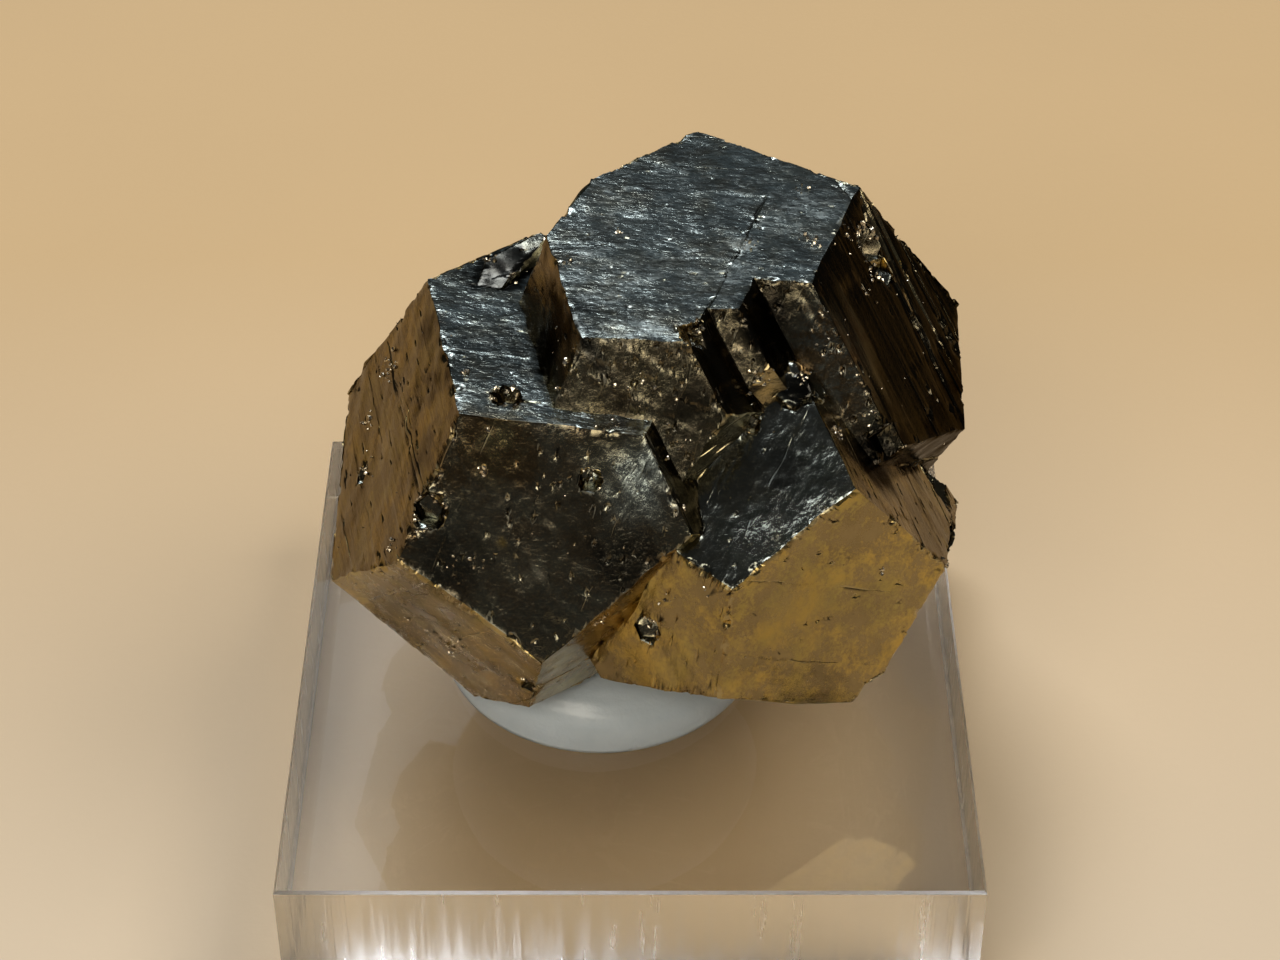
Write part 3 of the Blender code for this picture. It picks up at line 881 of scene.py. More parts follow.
@dataclass
class PyriteCluster:
    """The three crystals as one detailed mesh that stands for the solid cluster.

    Attributes:
        node: Name of the solid that it stands for.
        slot: Its material slot in the record; not used.
        crystals: The three crystals.
        patches: Places where the finish differs.
        same_form: Greatest angle between a face and its form, in degrees.
        same_plane: Greatest angle between other faces of one region, in degrees.
        broken_area: Area under which a face that isn't a crystal form is broken.
        facing_up: Height of its direction above which such a face is grey and scratched.
        facing_down: Height of its direction below which such a face can't be seen.
        ridge: Angle above which an edge is a ridge or a crevice, in degrees.
        pit_scale: Share of the width that its region allows which a pit has.
        pit_depth: Least and greatest depth of a pit, as a share of its width.
        chips_per_mm: Number of chips on each millimetre of crystal edge.
        chip_size: Least and greatest half length of a chip.
        chip_scale: Share of that which its length has, and of its length which its width has.
        chip_depth: Depth of a chip, as a share of its width.
        finest: Length above which an edge near a pit or a chip is split.
        edge_wear: How far the edges are worn back.
        border_calm: How smooth the relief is along them.
        waver: How far the edges waver over a short and over a long distance.
        waver_over: Those two distances.
        waver_flat: Share of the waver that is left out where it would lift a face.
        low_step: Height under which a step of the solid is evened out.
        merge: Distance under which its corners are then one.
        sliver: Width under which a face counts with the one beside it.
        crease: Angle above which an edge stays sharp, in degrees.
        least_inner_shade: Painted shade above which the inside of a pit counts as a crevice.
        regions: The regions that the faces are sorted into.
    """

    node: str = "pyrite_cluster"
    slot: str = "pyrite"
    crystals: tuple[Crystal, ...] = (LEFT_CRYSTAL, UPPER_CRYSTAL, LOWER_CRYSTAL)
    patches: tuple[Patch, ...] = PATCHES
    same_form: float = 2.4
    same_plane: float = 0.7
    broken_area: float = 4.0
    facing_up: float = 0.6
    facing_down: float = -0.97
    ridge: float = 20.0
    pit_scale: Limits = (0.6, 1.0)
    pit_depth: Limits = (0.5, 1.1)
    chips_per_mm: float = 0.3
    chip_size: Limits = (0.15, 0.7)
    chip_scale: Limits = (0.5, 1.0)
    chip_depth: float = 0.45
    finest: float = 0.16
    edge_wear: float = 0.08
    border_calm: float = 0.6
    waver: Pair = (0.12, 0.2)
    waver_over: Pair = (1.3, 5.0)
    waver_flat: float = 0.7
    low_step: float = 0.36
    merge: float = 0.06
    sliver: float = 0.045
    crease: float = 24.0
    least_inner_shade: float = 0.15
    regions: list[Region] = field(default_factory=list)

    CLEANINGS = 3  # Rounds in which slivers are taken out.
    UNFOLDINGS = 6  # Rounds in which folded edges are turned.
    GRAIN_APART = 61.7  # Keeps two regions from reading the same part of a noise.
    LEAST_LEVEL = 0.1  # A face whose level direction is shorter than this counts as level.
    RIM = ((0.3, 1.5, 71), (0.25, 0.5, 72))  # Share, width and seed of the waves in a patch's rim.
    RIDGE_WAVE = (0.6, 0.8, 47)  # The same of the worn ridges.
    RIDGE_LIMITS = (0.15, 1.0)
    WEAR_WAVE = (0.5, 91)  # Width and seed of the waves in the edges' wear.
    WAVER_SEEDS = (51, 52, 53)
    PIT_SEED = 17
    CHIP_SEED = 23

    def even_out(self, shape: Shape) -> None:
        """Carries the low straight steps of each crystal face to one height; uneven ones are cut there later.

        Args:
            shape: The working copy.
        """
        layer = self.sort_faces(shape)
        moves: dict[bmesh.types.BMVert, dict[int, float]] = {}
        for region in self.regions:
            own = [face for face in shape.faces if region.natural and face[layer] == region.number]
            own.sort(key=lambda face: face.calc_center_median().dot(region.normal))
            group: list[Face] = []
            for face, following in zip(own, [*own[1:], None]):
                group.append(face)
                height = face.calc_center_median().dot(region.normal)
                if following and following.calc_center_median().dot(region.normal) - height < self.low_step:
                    continue
                areas = [member.calc_area() for member in group]
                heights = [member.calc_center_median().dot(region.normal) for member in group]
                middle = sum(area * height for area, height in zip(areas, heights)) / sum(areas)
                for corner in {corner for member in group for corner in member.verts}:
                    moves.setdefault(corner, {})[region.number] = middle - corner.co.dot(region.normal)
                group = []
        for corner, wanted in moves.items():
            normals = np.array([self.regions[number].normal for number in wanted])
            move = Vector(np.linalg.lstsq(normals, np.array(list(wanted.values())), rcond=0.05)[0])
            corner.co += move * min(1.0, self.low_step / max(move.length, 1e-9))
        shape.faces.layers.int.remove(layer)
        self.regions.clear()
        bmesh.ops.remove_doubles(shape, verts=shape.verts, dist=self.merge)
        for _ in range(self.CLEANINGS):
            bmesh.ops.dissolve_degenerate(shape, dist=0.5 * self.merge, edges=shape.edges)
        to_triangles(shape)
        self.unfold(shape)

    def unfold(self, shape: Shape, angle: float = 2.6) -> None:
        """Turns each long edge at which a thin face lies folded over the face beside it.

        Args:
            shape: The working copy, in triangles.
            angle: Angle in radians above which two faces lie folded.
        """
        shape.normal_update()
        for _ in range(self.UNFOLDINGS):
            for edge in sorted(shape.edges, key=lambda edge: -edge.calc_length()):
                if len(edge.link_faces) != 2 or edge.calc_face_angle(0.0) < angle:
                    continue
                thin = min(edge.link_faces, key=lambda face: face.calc_area())
                tips = [corner for face in edge.link_faces for corner in face.verts if corner not in edge.verts]
                if edge.calc_length() < max(side.calc_length() for side in thin.edges) or shape.edges.get(tips):
                    continue
                turned = bmesh.utils.edge_rotate(edge)
                for face in turned.link_faces if turned else ():
                    face.normal_update()
        shape.normal_update()

    def region_for(self, normal: Vector) -> Region:
        """The region of faces that look this way, made if it is new.

        Args:
            normal: Outward direction of a face.

        Returns:
            The region.
        """
        choices = [(crystal, form, crystal.normal(form)) for crystal in self.crystals for form in Form]
        crystal, form, nearest = max(choices, key=lambda choice: choice[2].dot(normal))
        natural = nearest.dot(normal) > math.cos(math.radians(self.same_form))
        wanted = nearest if natural else normal
        for region in self.regions:
            if region.natural == natural and region.normal.dot(wanted) > math.cos(math.radians(self.same_plane)):
                return region
        if natural:
            region = self.add_region(nearest, crystal.along(form), crystal.surfaces.get(form, Surface.BEHIND))
            region.natural = True
            return region
        level = Vector((0.0, 0.0, 1.0)).cross(normal)
        along = level.normalized() if level.length > self.LEAST_LEVEL else Vector((1.0, 0.0, 0.0))
        surface = Surface.HIDDEN if normal.z < self.facing_down else Surface.BEHIND
        if normal.z > self.facing_up:
            surface = Surface.SCRATCHED
        return self.add_region(normal.copy(), along, surface)

    def add_region(self, normal: Vector, along: Vector, surface: Surface) -> Region:
        """Adds a region to the list.

        Args:
            normal: Outward direction.
            along: Direction of the striae.
            surface: The kind of surface.

        Returns:
            The new region.
        """
        region = Region(len(self.regions), normal, along, surface.value)
        self.regions.append(region)
        return region

    def is_thin(self, face: Face) -> bool:
        """Whether a triangle is too thin for its own direction to count."""
        return 2 * face.calc_area() < self.sliver * max(edge.calc_length() for edge in face.edges)

    def sort_faces(self, shape: Shape) -> Layer:
        """Gives each face the number of its region; a thin one goes with the widest face beside it.

        Args:
            shape: The working copy.

        Returns:
            The layer that holds the numbers.
        """
        layer = shape.faces.layers.int.new("region")
        for face in shape.faces:
            beside = [other for edge in face.edges for other in edge.link_faces if other is not face]
            widest = max(beside, key=lambda other: other.calc_area(), default=face)
            region = self.region_for(widest.normal if self.is_thin(face) else face.normal)
            region.include(face)
            face[layer] = region.number
        for region in self.regions:
            if not region.natural and region.area < self.broken_area:
                region.relief = Surface.BROKEN.value
        return layer

    def pit_dents(self, shape: Shape, layer: Layer) -> list[Dent]:
        """Small pits spread over every region by area.

        Args:
            shape: The working copy.
            layer: The layer that holds each face's region.

        Returns:
            The pits.
        """
        chance = random.Random(self.PIT_SEED)
        dents = []
        for face in shape.faces:
            region = self.regions[face[layer]]
            relief = region.relief
            if chance.random() > face.calc_area() * relief.pits:
                continue
            width = chance.uniform(*relief.pit_size) * chance.uniform(*self.pit_scale)
            length = width * chance.uniform(1.0, relief.pit_reach)
            depth = width * chance.uniform(*self.pit_depth)
            place = face.calc_center_median()
            dents.append(Dent(place, region.normal, region.along, length, width, depth))
        return dents

    def chip_dents(self, shape: Shape) -> list[Dent]:
        """Chips spread along the crystal edges by length.

        Args:
            shape: The working copy.

        Returns:
            The chips.
        """
        chance = random.Random(self.CHIP_SEED)
        dents = []
        for edge in shape.edges:
            if len(edge.link_faces) != 2 or edge.calc_face_angle_signed(0.0) < math.radians(self.ridge):
                continue
            if chance.random() > edge.calc_length() * self.chips_per_mm:
                continue
            first, second = edge.link_faces
            facing = (first.normal + second.normal).normalized()
            along = (edge.verts[1].co - edge.verts[0].co).normalized()
            length = chance.uniform(*self.chip_size) * chance.uniform(*self.chip_scale)
            width = length * chance.uniform(*self.chip_scale)
            place = 0.5 * (edge.verts[0].co + edge.verts[1].co)
            depth = self.chip_depth * width
            dents.append(Dent(place, facing, along, length, width, depth, steep=1.6, reach=0.3, inner_shade=0.0))
        return dents

    def refine(self, shape: Shape, dents: list[Dent]) -> None:
        """Makes the mesh finer where a dent goes.

        Args:
            shape: The working copy.
            dents: The pits and chips.
        """
        edges = list(shape.edges)
        tree = search_tree([0.5 * (edge.verts[0].co + edge.verts[1].co) for edge in edges])
        near = {index for dent in dents for _, index, _ in tree.find_range(dent.place, dent.radius)}
        chosen = [edges[index] for index in sorted(near) if edges[index].calc_length() > self.finest]
        bmesh.ops.subdivide_edges(shape, edges=chosen, cuts=1)
        to_triangles(shape)

    def displaced(self, shape: Shape, layer: Layer, dents: list[Dent]) -> tuple[np.ndarray, np.ndarray]:
        """Where every corner goes once relief, wear and dents are cut into the faces.

        Args:
            shape: The working copy.
            layer: The layer that holds each face's region.
            dents: The pits and chips.

        Returns:
            The new places, one row each, and how dark each is painted inside a pit, a painted shade.
        """
        shape.verts.ensure_lookup_table()
        shape.verts.index_update()
        points = np.array([corner.co for corner in shape.verts])
        members: list[set[int]] = [set() for _ in self.regions]
        normals = np.zeros_like(points)
        for face in shape.faces:
            number = face[layer]
            members[number].update(corner.index for corner in face.verts)
        borders = np.bincount([index for indices in members for index in indices], minlength=len(points))
        ragged = self.ragged(points)
        calm = np.clip(sum(patch.calm * patch.weight(points, ragged) for patch in self.patches if patch.calm), 0.0, 1.0)
        calm = np.where(borders > 1, np.maximum(calm, self.border_calm), calm)
        shift = np.zeros_like(points)
        for region, indices in zip(self.regions, members):
            if not indices:
                continue
            chosen = np.array(sorted(indices))
            normal = np.array(region.normal)
            shift[chosen] -= region.depth(points[chosen], calm[chosen])[:, None] * normal
            normals[chosen] += normal
        normals /= np.maximum(np.linalg.norm(normals, axis=1), 1e-9)[:, None]
        wear = np.where(borders > 1, self.edge_wear * 0.5 * (1 + uneven(points, *self.WEAR_WAVE)), 0.0)
        shift -= wear[:, None] * normals
        inner_shades = self.cut_dents(points, normals, shift, dents)
        for size, width in zip(self.waver, self.waver_over):
            sway = size * np.stack([uneven(points, width, seed) for seed in self.WAVER_SEEDS], axis=1)
            shift += sway - self.waver_flat * (sway * normals).sum(1)[:, None] * normals
        return points + shift, inner_shades

    def ragged(self, points: np.ndarray) -> np.ndarray:
        """How far the rim of a patch is moved at each place, as a share of its radius."""
        return sum(share * uneven(points, width, seed) for share, width, seed in self.RIM)

    @staticmethod
    def cut_dents(points: np.ndarray, normals: np.ndarray, shift: np.ndarray, dents: list[Dent]) -> np.ndarray:
        """Adds the dents to the shift of every corner.

        Args:
            points: Places of the corners.
            normals: Their outward directions.
            shift: Their shift so far, which this changes.
            dents: The pits and chips.

        Returns:
            How dark each corner is painted inside its pit, a painted shade.
        """
        tree = search_tree(points)
        deepest: dict[int, tuple[float, Dent]] = {}
        for dent in dents:
            for place, index, _ in tree.find_range(dent.place, dent.radius):
                if Vector(normals[index]).dot(dent.facing) < dent.reach:
                    continue
                depth = dent.depth * dent.share(place - dent.place)
                if depth > deepest.get(index, (0.0, dent))[0]:
                    deepest[index] = (depth, dent)
        inner_shades = np.zeros(len(points))
        for index, (depth, dent) in deepest.items():
            shift[index] -= depth * np.array(dent.facing)
            # Painted shade inside the pit, darkest where it is deepest.
            inner_shades[index] = dent.inner_shade * depth / dent.depth
        return inner_shades

    def ridges(self, shape: Shape) -> np.ndarray:
        """Which corners lie on a ridge (1) or in a crevice (-1).

        Args:
            shape: The working copy, with its corners at their new places.

        Returns:
            One value for each corner.
        """
        strongest = np.zeros(len(shape.verts))
        thin = [self.is_thin(face) for face in shape.faces]
        shape.faces.index_update()
        for edge in shape.edges:
            angle = edge.calc_face_angle_signed(0.0)
            if any(thin[face.index] for face in edge.link_faces):
                continue
            for corner in edge.verts:
                if abs(angle) > abs(strongest[corner.index]):
                    strongest[corner.index] = angle
        return np.where(np.abs(strongest) > math.radians(self.ridge), np.sign(strongest), 0.0)

    def dress(self, mesh: bpy.types.Mesh, numbers: list[int], ridges: np.ndarray) -> None:
        """Writes what the finish reads: coordinates along the striae, kinds of surface with their painted dark
        reflection, and ridges with their wear, together with the painted shade of crevices and pits.

        Args:
            mesh: The finished mesh in metres.
            numbers: The region of each face.
            ridges: Which corners lie on a ridge (1) or in a crevice or pit (-1).
        """
        starts = np.empty(len(mesh.loops), np.int64)
        mesh.loops.foreach_get("vertex_index", starts)
        corners = np.empty(len(mesh.vertices) * 3)
        mesh.vertices.foreach_get("co", corners)
        corners = corners.reshape(-1, 3) / MM
        places = corners[starts]
        owner = np.repeat(np.array(numbers), 3)
        across = np.array([region.across for region in self.regions])[owner]
        along = np.array([region.along for region in self.regions])[owner]
        grain = np.stack([(places * across).sum(1), (places * along).sum(1) + self.GRAIN_APART * owner], axis=1)
        layer = mesh.uv_layers.new(name="grain")
        layer.data.foreach_set("uv", grain.astype(np.float32).ravel())
        reliefs = [region.relief for region in self.regions]
        marks = np.array([(r.short_streaks, r.long_streaks, r.speckle, r.satin) for r in reliefs])[owner]
        # The third tone is painted dark reflection, from each region and from the patches.
        tones = np.array([(r.brown, r.cool, r.dark, 1.0) for r in reliefs])[owner]
        ragged = self.ragged(corners)
        for patch in self.patches:
            weight = patch.weight(corners, ragged)[starts][:, None]
            marks += weight * np.array((patch.short_streaks, 0.0, patch.speckle, patch.satin))
            tones += weight * np.array((patch.brown, patch.cool, patch.dark, 0.0))
        for name, values in (("marks", marks), ("tones", tones)):
            colours = mesh.color_attributes.new(name, "FLOAT_COLOR", "CORNER")
            colours.data.foreach_set("color", np.clip(values, 0.0, 1.0).astype(np.float32).ravel())
        # Ridges take positive wear, which the finish mats and paints paler as a painted edge highlight; crevices and
        # shaded pits take negative wear, painted dark as painted shade.
        share, width, seed = self.RIDGE_WAVE
        wear_and_shade = np.clip(share + share * uneven(corners, width, seed), *self.RIDGE_LIMITS)
        wear = mesh.attributes.new("wear", "FLOAT", "POINT")
        wear.data.foreach_set("value", (ridges * wear_and_shade).astype(np.float32))

    def build(self) -> Object:
        """Builds and dresses the cluster.

        Returns:
            The finished object.
        """
        solid = working_copy(self.node)
        solid.normal_update()
        self.even_out(solid)
        shape, layer = StriaCutter(solid, self.sort_faces(solid), self.regions).cut()
        solid.free()
        dents = self.pit_dents(shape, layer) + self.chip_dents(shape)
        self.refine(shape, dents)
        places, inner_shades = self.displaced(shape, layer, dents)
        low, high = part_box(self.node)
        places = np.clip(places, np.array(low) / MM, np.array(high) / MM)
        for corner, place in zip(shape.verts, places):
            corner.co = place
        shape.normal_update()
        numbers = [face[layer] for face in shape.faces]
        # Painted shade: a pit shaded past the threshold counts as a crevice, which the finish paints dark.
        ridges = np.where(inner_shades > self.least_inner_shade, -inner_shades, self.ridges(shape))
        shape.faces.layers.int.remove(layer)
        mesh = to_mesh(shape, "pyrite_crystals")
        mesh.vertices.foreach_set("co", places.ravel() * MM)
        mesh.update()
        self.dress(mesh, numbers, ridges)
        mesh.shade_smooth()
        mesh.set_sharp_from_angle(angle=math.radians(self.crease))
        crystals = to_scene("pyrite_crystals", mesh)
        mesh.materials.append(PyriteFinish().material())
        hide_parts(self.node)
        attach(crystals, "root")
        return crystals


@dataclass(frozen=True)
class Nest:
    """A group of tiny crystals that grew in a pit or on an edge.

    Attributes:
        place: Its centre.
        spread: How far the tiny crystals lie from its centre.
        count: How many there are.
        size: Greatest width of one.
    """

    place: Triple
    spread: float
    count: int
    size: float


NESTS = tuple(
    Nest(*row)
    for row in (
        ((-10.2, 9.6, 43.1), 0.45, 9, 0.6),
        ((-8.4, 8.0, 43.0), 0.4, 7, 0.4),
        ((-11.5, -4.2, 43.1), 0.35, 6, 0.45),
        ((-8.6, -6.5, 43.0), 0.6, 16, 0.6),
        ((-10.1, -11.0, 39.8), 0.4, 9, 0.6),
        ((-9.7, -8.6, 41.7), 0.4, 8, 0.45),
        ((-14.0, -12.2, 37.0), 0.9, 18, 0.55),
        ((-10.5, -14.2, 34.0), 0.5, 7, 0.4),
        ((-12.3, -13.9, 33.9), 0.4, 5, 0.4),
        ((-2.7, -11.7, 39.5), 0.35, 5, 0.45),
        ((-19.4, -1.0, 32.0), 0.8, 9, 0.35),
        ((-18.3, 4.8, 36.6), 1.1, 20, 0.4),
        ((-19.3, 2.5, 33.5), 0.8, 10, 0.35),
        ((-16.2, -11.5, 33.0), 0.8, 10, 0.35),
        ((-16.3, -10.2, 25.0), 0.4, 6, 0.35),
        ((-12.5, -12.7, 25.3), 0.5, 6, 0.35),
        ((-13.6, -12.0, 23.2), 0.7, 16, 0.4),
        ((-7.5, -14.9, 22.9), 0.35, 6, 0.4),
        ((1.1, -14.1, 27.7), 0.6, 14, 0.5),
        ((-2.2, -15.0, 29.5), 0.8, 10, 0.35),
        ((2.2, -15.0, 31.0), 0.5, 8, 0.35),
        ((17.6, 11.2, 43.4), 0.9, 22, 0.6),
        ((18.3, 9.0, 42.4), 0.8, 14, 0.5),
        ((15.5, 9.5, 45.0), 0.8, 10, 0.4),
        ((17.5, 6.5, 42.2), 0.8, 8, 0.4),
        ((4.7, -4.1, 47.1), 0.5, 9, 0.4),
        ((9.1, -4.3, 42.4), 0.6, 12, 0.5),
        ((12.0, -3.4, 41.9), 0.45, 9, 0.5),
        ((14.7, -5.6, 38.8), 0.6, 12, 0.4),
        ((13.6, -1.2, 43.0), 0.3, 4, 0.4),
        ((13.6, 0.7, 44.4), 0.3, 4, 0.45),
        ((16.2, -1.5, 40.4), 0.25, 4, 0.45),
        ((17.1, -2.7, 38.0), 0.4, 6, 0.45),
        ((19.6, -3.0, 35.0), 0.4, 4, 0.4),
        ((5.2, -15.9, 33.1), 0.3, 4, 0.4),
        ((25.2, 2.5, 23.8), 0.5, 6, 0.35),
        ((23.6, -8.0, 28.6), 0.7, 9, 0.35),
        ((18.6, -12.0, 30.5), 0.3, 4, 0.35),
        ((-5.2, -1.9, 45.2), 0.2, 3, 0.4),
        ((-4.5, -5.9, 45.2), 0.25, 3, 0.45),
        ((-5.0, -6.9, 43.7), 0.3, 4, 0.4),
        ((-5.9, 7.0, 46.4), 0.3, 4, 0.45),
        ((-4.5, 3.6, 46.9), 0.5, 6, 0.4),
        ((-2.3, 17.3, 46.3), 0.5, 6, 0.45),
        ((13.2, 7.2, 46.3), 0.9, 12, 0.4),
        ((12.6, 14.6, 46.1), 0.5, 5, 0.4),
        ((8.3, 6.4, 46.4), 0.6, 10, 0.3),
        ((-0.8, 7.6, 47.0), 0.5, 7, 0.4),
        ((0.5, -7.4, 44.6), 1.6, 14, 0.35),
        ((-1.6, -8.6, 43.2), 1.2, 12, 0.4),
        ((3.5, -9.6, 40.8), 1.0, 10, 0.35),
        ((3.4, -12.5, 37.2), 0.5, 6, 0.45),
        ((17.9, -8.4, 22.6), 0.7, 8, 0.4),
    )
)


@dataclass
class TinyCrystals:
    """Tiny crystals in the pits and on the edges, which flash where they catch the light.

    Attributes:
        slot: Their material slot in the record; not used.
        nests: Groups of them in the places that the front view shows.
        strays: Number of single ones, spread over everything.
        stray_size: Least and greatest width of a single one.
        sunk: Least and greatest share of its width that one stands out.
        crowding: How close the tiny crystals of a nest stand to its centre.
        nest_scale: Least and greatest width of one, as a share of its nest's greatest.
        sides: Least and greatest share of its width that one side has.
        bend: How far a corner is moved, as a share of its width.
    """

    slot: str = "pyrite"
    nests: tuple[Nest, ...] = NESTS
    strays: int = 160
    stray_size: Limits = (0.08, 0.2)
    sunk: Limits = (-0.25, 0.25)
    crowding: float = 0.6
    nest_scale: Limits = (0.3, 1.0)
    sides: Limits = (0.7, 1.2)
    bend: float = 0.1

    SEED = 61

    def places(self, chance: random.Random, faces: list[tuple[Vector, float]]) -> Iterator[tuple[Vector, float]]:
        """Where the tiny crystals go and how wide they are.

        Args:
            chance: Source of the uneven values.
            faces: Centre and area of each face of the cluster.

        Yields:
            A place near the cluster's surface and a width.
        """
        for nest in self.nests:
            for _ in range(nest.count):
                offset = Vector([chance.gauss(0.0, self.crowding * nest.spread) for _ in range(3)])
                yield Vector(nest.place) + offset, nest.size * chance.uniform(*self.nest_scale)
        weights = [area for _, area in faces]
        for centre, _ in chance.choices(faces, weights=weights, k=self.strays):
            yield centre, chance.uniform(*self.stray_size)

    def grow(self, shape: Shape, chance: random.Random, centre: Vector, width: float) -> None:
        """Adds one tiny crystal: a small many-sided lump with uneven faces.

        Args:
            shape: The mesh that it goes to.
            chance: Source of the uneven values.
            centre: Its centre.
            width: Its width.
        """
        turn = Euler([chance.uniform(0.0, math.tau) for _ in range(3)], "XYZ")
        sides = Matrix.Diagonal([0.5 * width * chance.uniform(*self.sides) for _ in range(3)])
        place = Matrix.Translation(centre) @ (turn.to_matrix() @ sides).to_4x4()
        made = bmesh.ops.create_icosphere(shape, subdivisions=1, radius=1.0, matrix=place)
        for corner in made["verts"]:
            corner.co += Vector([chance.uniform(-self.bend, self.bend) * width for _ in range(3)])

    def build(self, cluster: Object) -> Object:
        """Builds and dresses the tiny crystals.

        Args:
            cluster: The finished cluster.

        Returns:
            The finished object.
        """
        chance = random.Random(self.SEED)
        ground = cluster.data
        corners = [corner.co / MM for corner in ground.vertices]
        tree = BVHTree.FromPolygons(corners, [face.vertices[:] for face in ground.polygons])
        faces = [(face.center / MM, face.area) for face in ground.polygons]
        shape = bmesh.new()
        for place, width in self.places(chance, faces):
            surface, normal, _, _ = tree.find_nearest(place)
            self.grow(shape, chance, surface + normal * (width * chance.uniform(*self.sunk)), width)
        low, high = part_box("pyrite_cluster")
        for corner in shape.verts:
            corner.co = [min(max(value * MM, least), most) for value, least, most in zip(corner.co, low, high)]
        mesh = to_mesh(shape, "tiny_crystals")
        tiny = to_scene("tiny_crystals", mesh)
        mesh.materials.append(GlintFinish().material())
        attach(tiny, "root")
        return tiny


class NodeTree:
    """A short way to make and join the nodes of a material."""

    def __init__(self, name: str) -> None:
        """Starts a material with only its output and one Principled shader.

        Args:
            name: Name of the material.
        """
        self.material = bpy.data.materials.new(name)
        self.material.use_nodes = True
        self.tree = self.material.node_tree
        self.shader = self.tree.nodes["Principled BSDF"]

    def add(self, kind: str, **settings: object) -> bpy.types.Node:
        """A new node with some of its settings.

        Args:
            kind: Blender's name for the kind of node.
            **settings: Attributes of the node, by name.

        Returns:
            The node.
        """
        node = self.tree.nodes.new(kind)
        for name, value in settings.items():
            setattr(node, name, value)
        return node

    def join(self, source: Socket, target: Socket) -> None:
        """Joins an output to an input."""
        self.tree.links.new(source, target)

    def put(self, target: Socket, value: object) -> None:
        """Sets an input from another node's output or from a plain value.

        Args:
            target: The input.
            value: The output or the value.
        """
        if isinstance(value, Socket):
            self.join(value, target)
        else:
            target.default_value = value

    def set(self, name: str, value: object) -> None:
        """Sets one input of the shader from an output or from a plain value."""
        self.put(self.shader.inputs[name], value)

    def math(self, operation: str, first: object, second: object = 0.0, clamp: bool = False) -> Socket:
        """One piece of arithmetic on one or two values.

        Args:
            operation: Blender's name for it.
            first: First value or output.
            second: Second value or output.
            clamp: Whether to keep the result between 0 and 1.

        Returns:
            The result's output.
        """
        node = self.add("ShaderNodeMath", operation=operation, use_clamp=clamp)
        self.put(node.inputs[0], first)
        self.put(node.inputs[1], second)
        return node.outputs[0]

    def times(self, first: object, second: object) -> Socket:
        """The product of two values."""
        return self.math("MULTIPLY", first, second)

    def plus(self, first: object, second: object, clamp: bool = False) -> Socket:
        """The sum of two values, kept between 0 and 1 if it is clamped."""
        return self.math("ADD", first, second, clamp)

    def millimetres(self) -> Socket:
        """The piece's own coordinates in millimetres."""
        return self.scaled(self.add("ShaderNodeTexCoord").outputs["Object"], (1 / MM, 1 / MM, 1 / MM))

    def split(self, colour: Socket) -> tuple[Socket, ...]:
        """The three channels of a colour.

        Args:
            colour: The colour's output.

        Returns:
            The channels' outputs.
        """
        node = self.add("ShaderNodeSeparateColor")
        self.join(colour, node.inputs["Color"])
        return tuple(node.outputs)

    def scaled(self, source: Socket, scale: Triple) -> Socket:
        """Coordinates multiplied axis by axis.

        Args:
            source: The coordinates' output.
            scale: What each axis is multiplied by.

        Returns:
            The new coordinates' output.
        """
        node = self.add("ShaderNodeVectorMath", operation="MULTIPLY")
        self.join(source, node.inputs[0])
        node.inputs[1].default_value = scale
        return node.outputs[0]

    def noise(
        self, vector: Socket, scale: float = 1.0, detail: float = 2.0, roughness: float = 0.5, swirl: float = 0.0
    ) -> Socket:
        """Noise from 0 to 1.

        Args:
            vector: Coordinates.
            scale: Number of changes in each unit.
            detail: Number of finer layers.
            roughness: Strength of each finer layer.
            swirl: How far the noise is bent out of line.

        Returns:
            The noise's output.
        """
        node = self.add("ShaderNodeTexNoise")
        self.join(vector, node.inputs["Vector"])
        node.inputs["Scale"].default_value = scale
        node.inputs["Detail"].default_value = detail
        node.inputs["Roughness"].default_value = roughness
        node.inputs["Distortion"].default_value = swirl
        return node.outputs["Fac"]

    def ramp(self, value: Socket, low: float, high: float, to_low: float = 0.0, to_high: float = 1.0) -> Socket:
        """A value carried from one range to another and kept inside it.

        Args:
            value: The value.
            low: Where the first range starts.
            high: Where it ends.
            to_low: What its start becomes.
            to_high: What its end becomes.

        Returns:
            The new value's output.
        """
        node = self.add("ShaderNodeMapRange")
        self.join(value, node.inputs["Value"])
        for socket, number in zip(("From Min", "From Max", "To Min", "To Max"), (low, high, to_low, to_high)):
            node.inputs[socket].default_value = number
        return node.outputs["Result"]

    def blend(self, share: object, first: object, second: object) -> Socket:
        """A mix of two colours.

        Args:
            share: How much of the second colour.
            first: First colour or output.
            second: Second colour or output.

        Returns:
            The colour's output.
        """
        node = self.add("ShaderNodeMix", data_type="RGBA")
        self.put(node.inputs["Factor"], share)
        self.put(node.inputs[6], first)
        self.put(node.inputs[7], second)
        return node.outputs[2]

    def bump(self, height: Socket, distance: float, normal: Socket | None = None) -> Socket:
        """A bump on the surface.

        Args:
            height: Its shape, from 0 to 1.
            distance: Its height in metres.
            normal: Another bump that lies under it.

        Returns:
            The normal's output.
        """
        node = self.add("ShaderNodeBump")
        self.join(height, node.inputs["Height"])
        node.inputs["Distance"].default_value = distance
        if normal is not None:
            self.join(normal, node.inputs["Normal"])
        return node.outputs["Normal"]


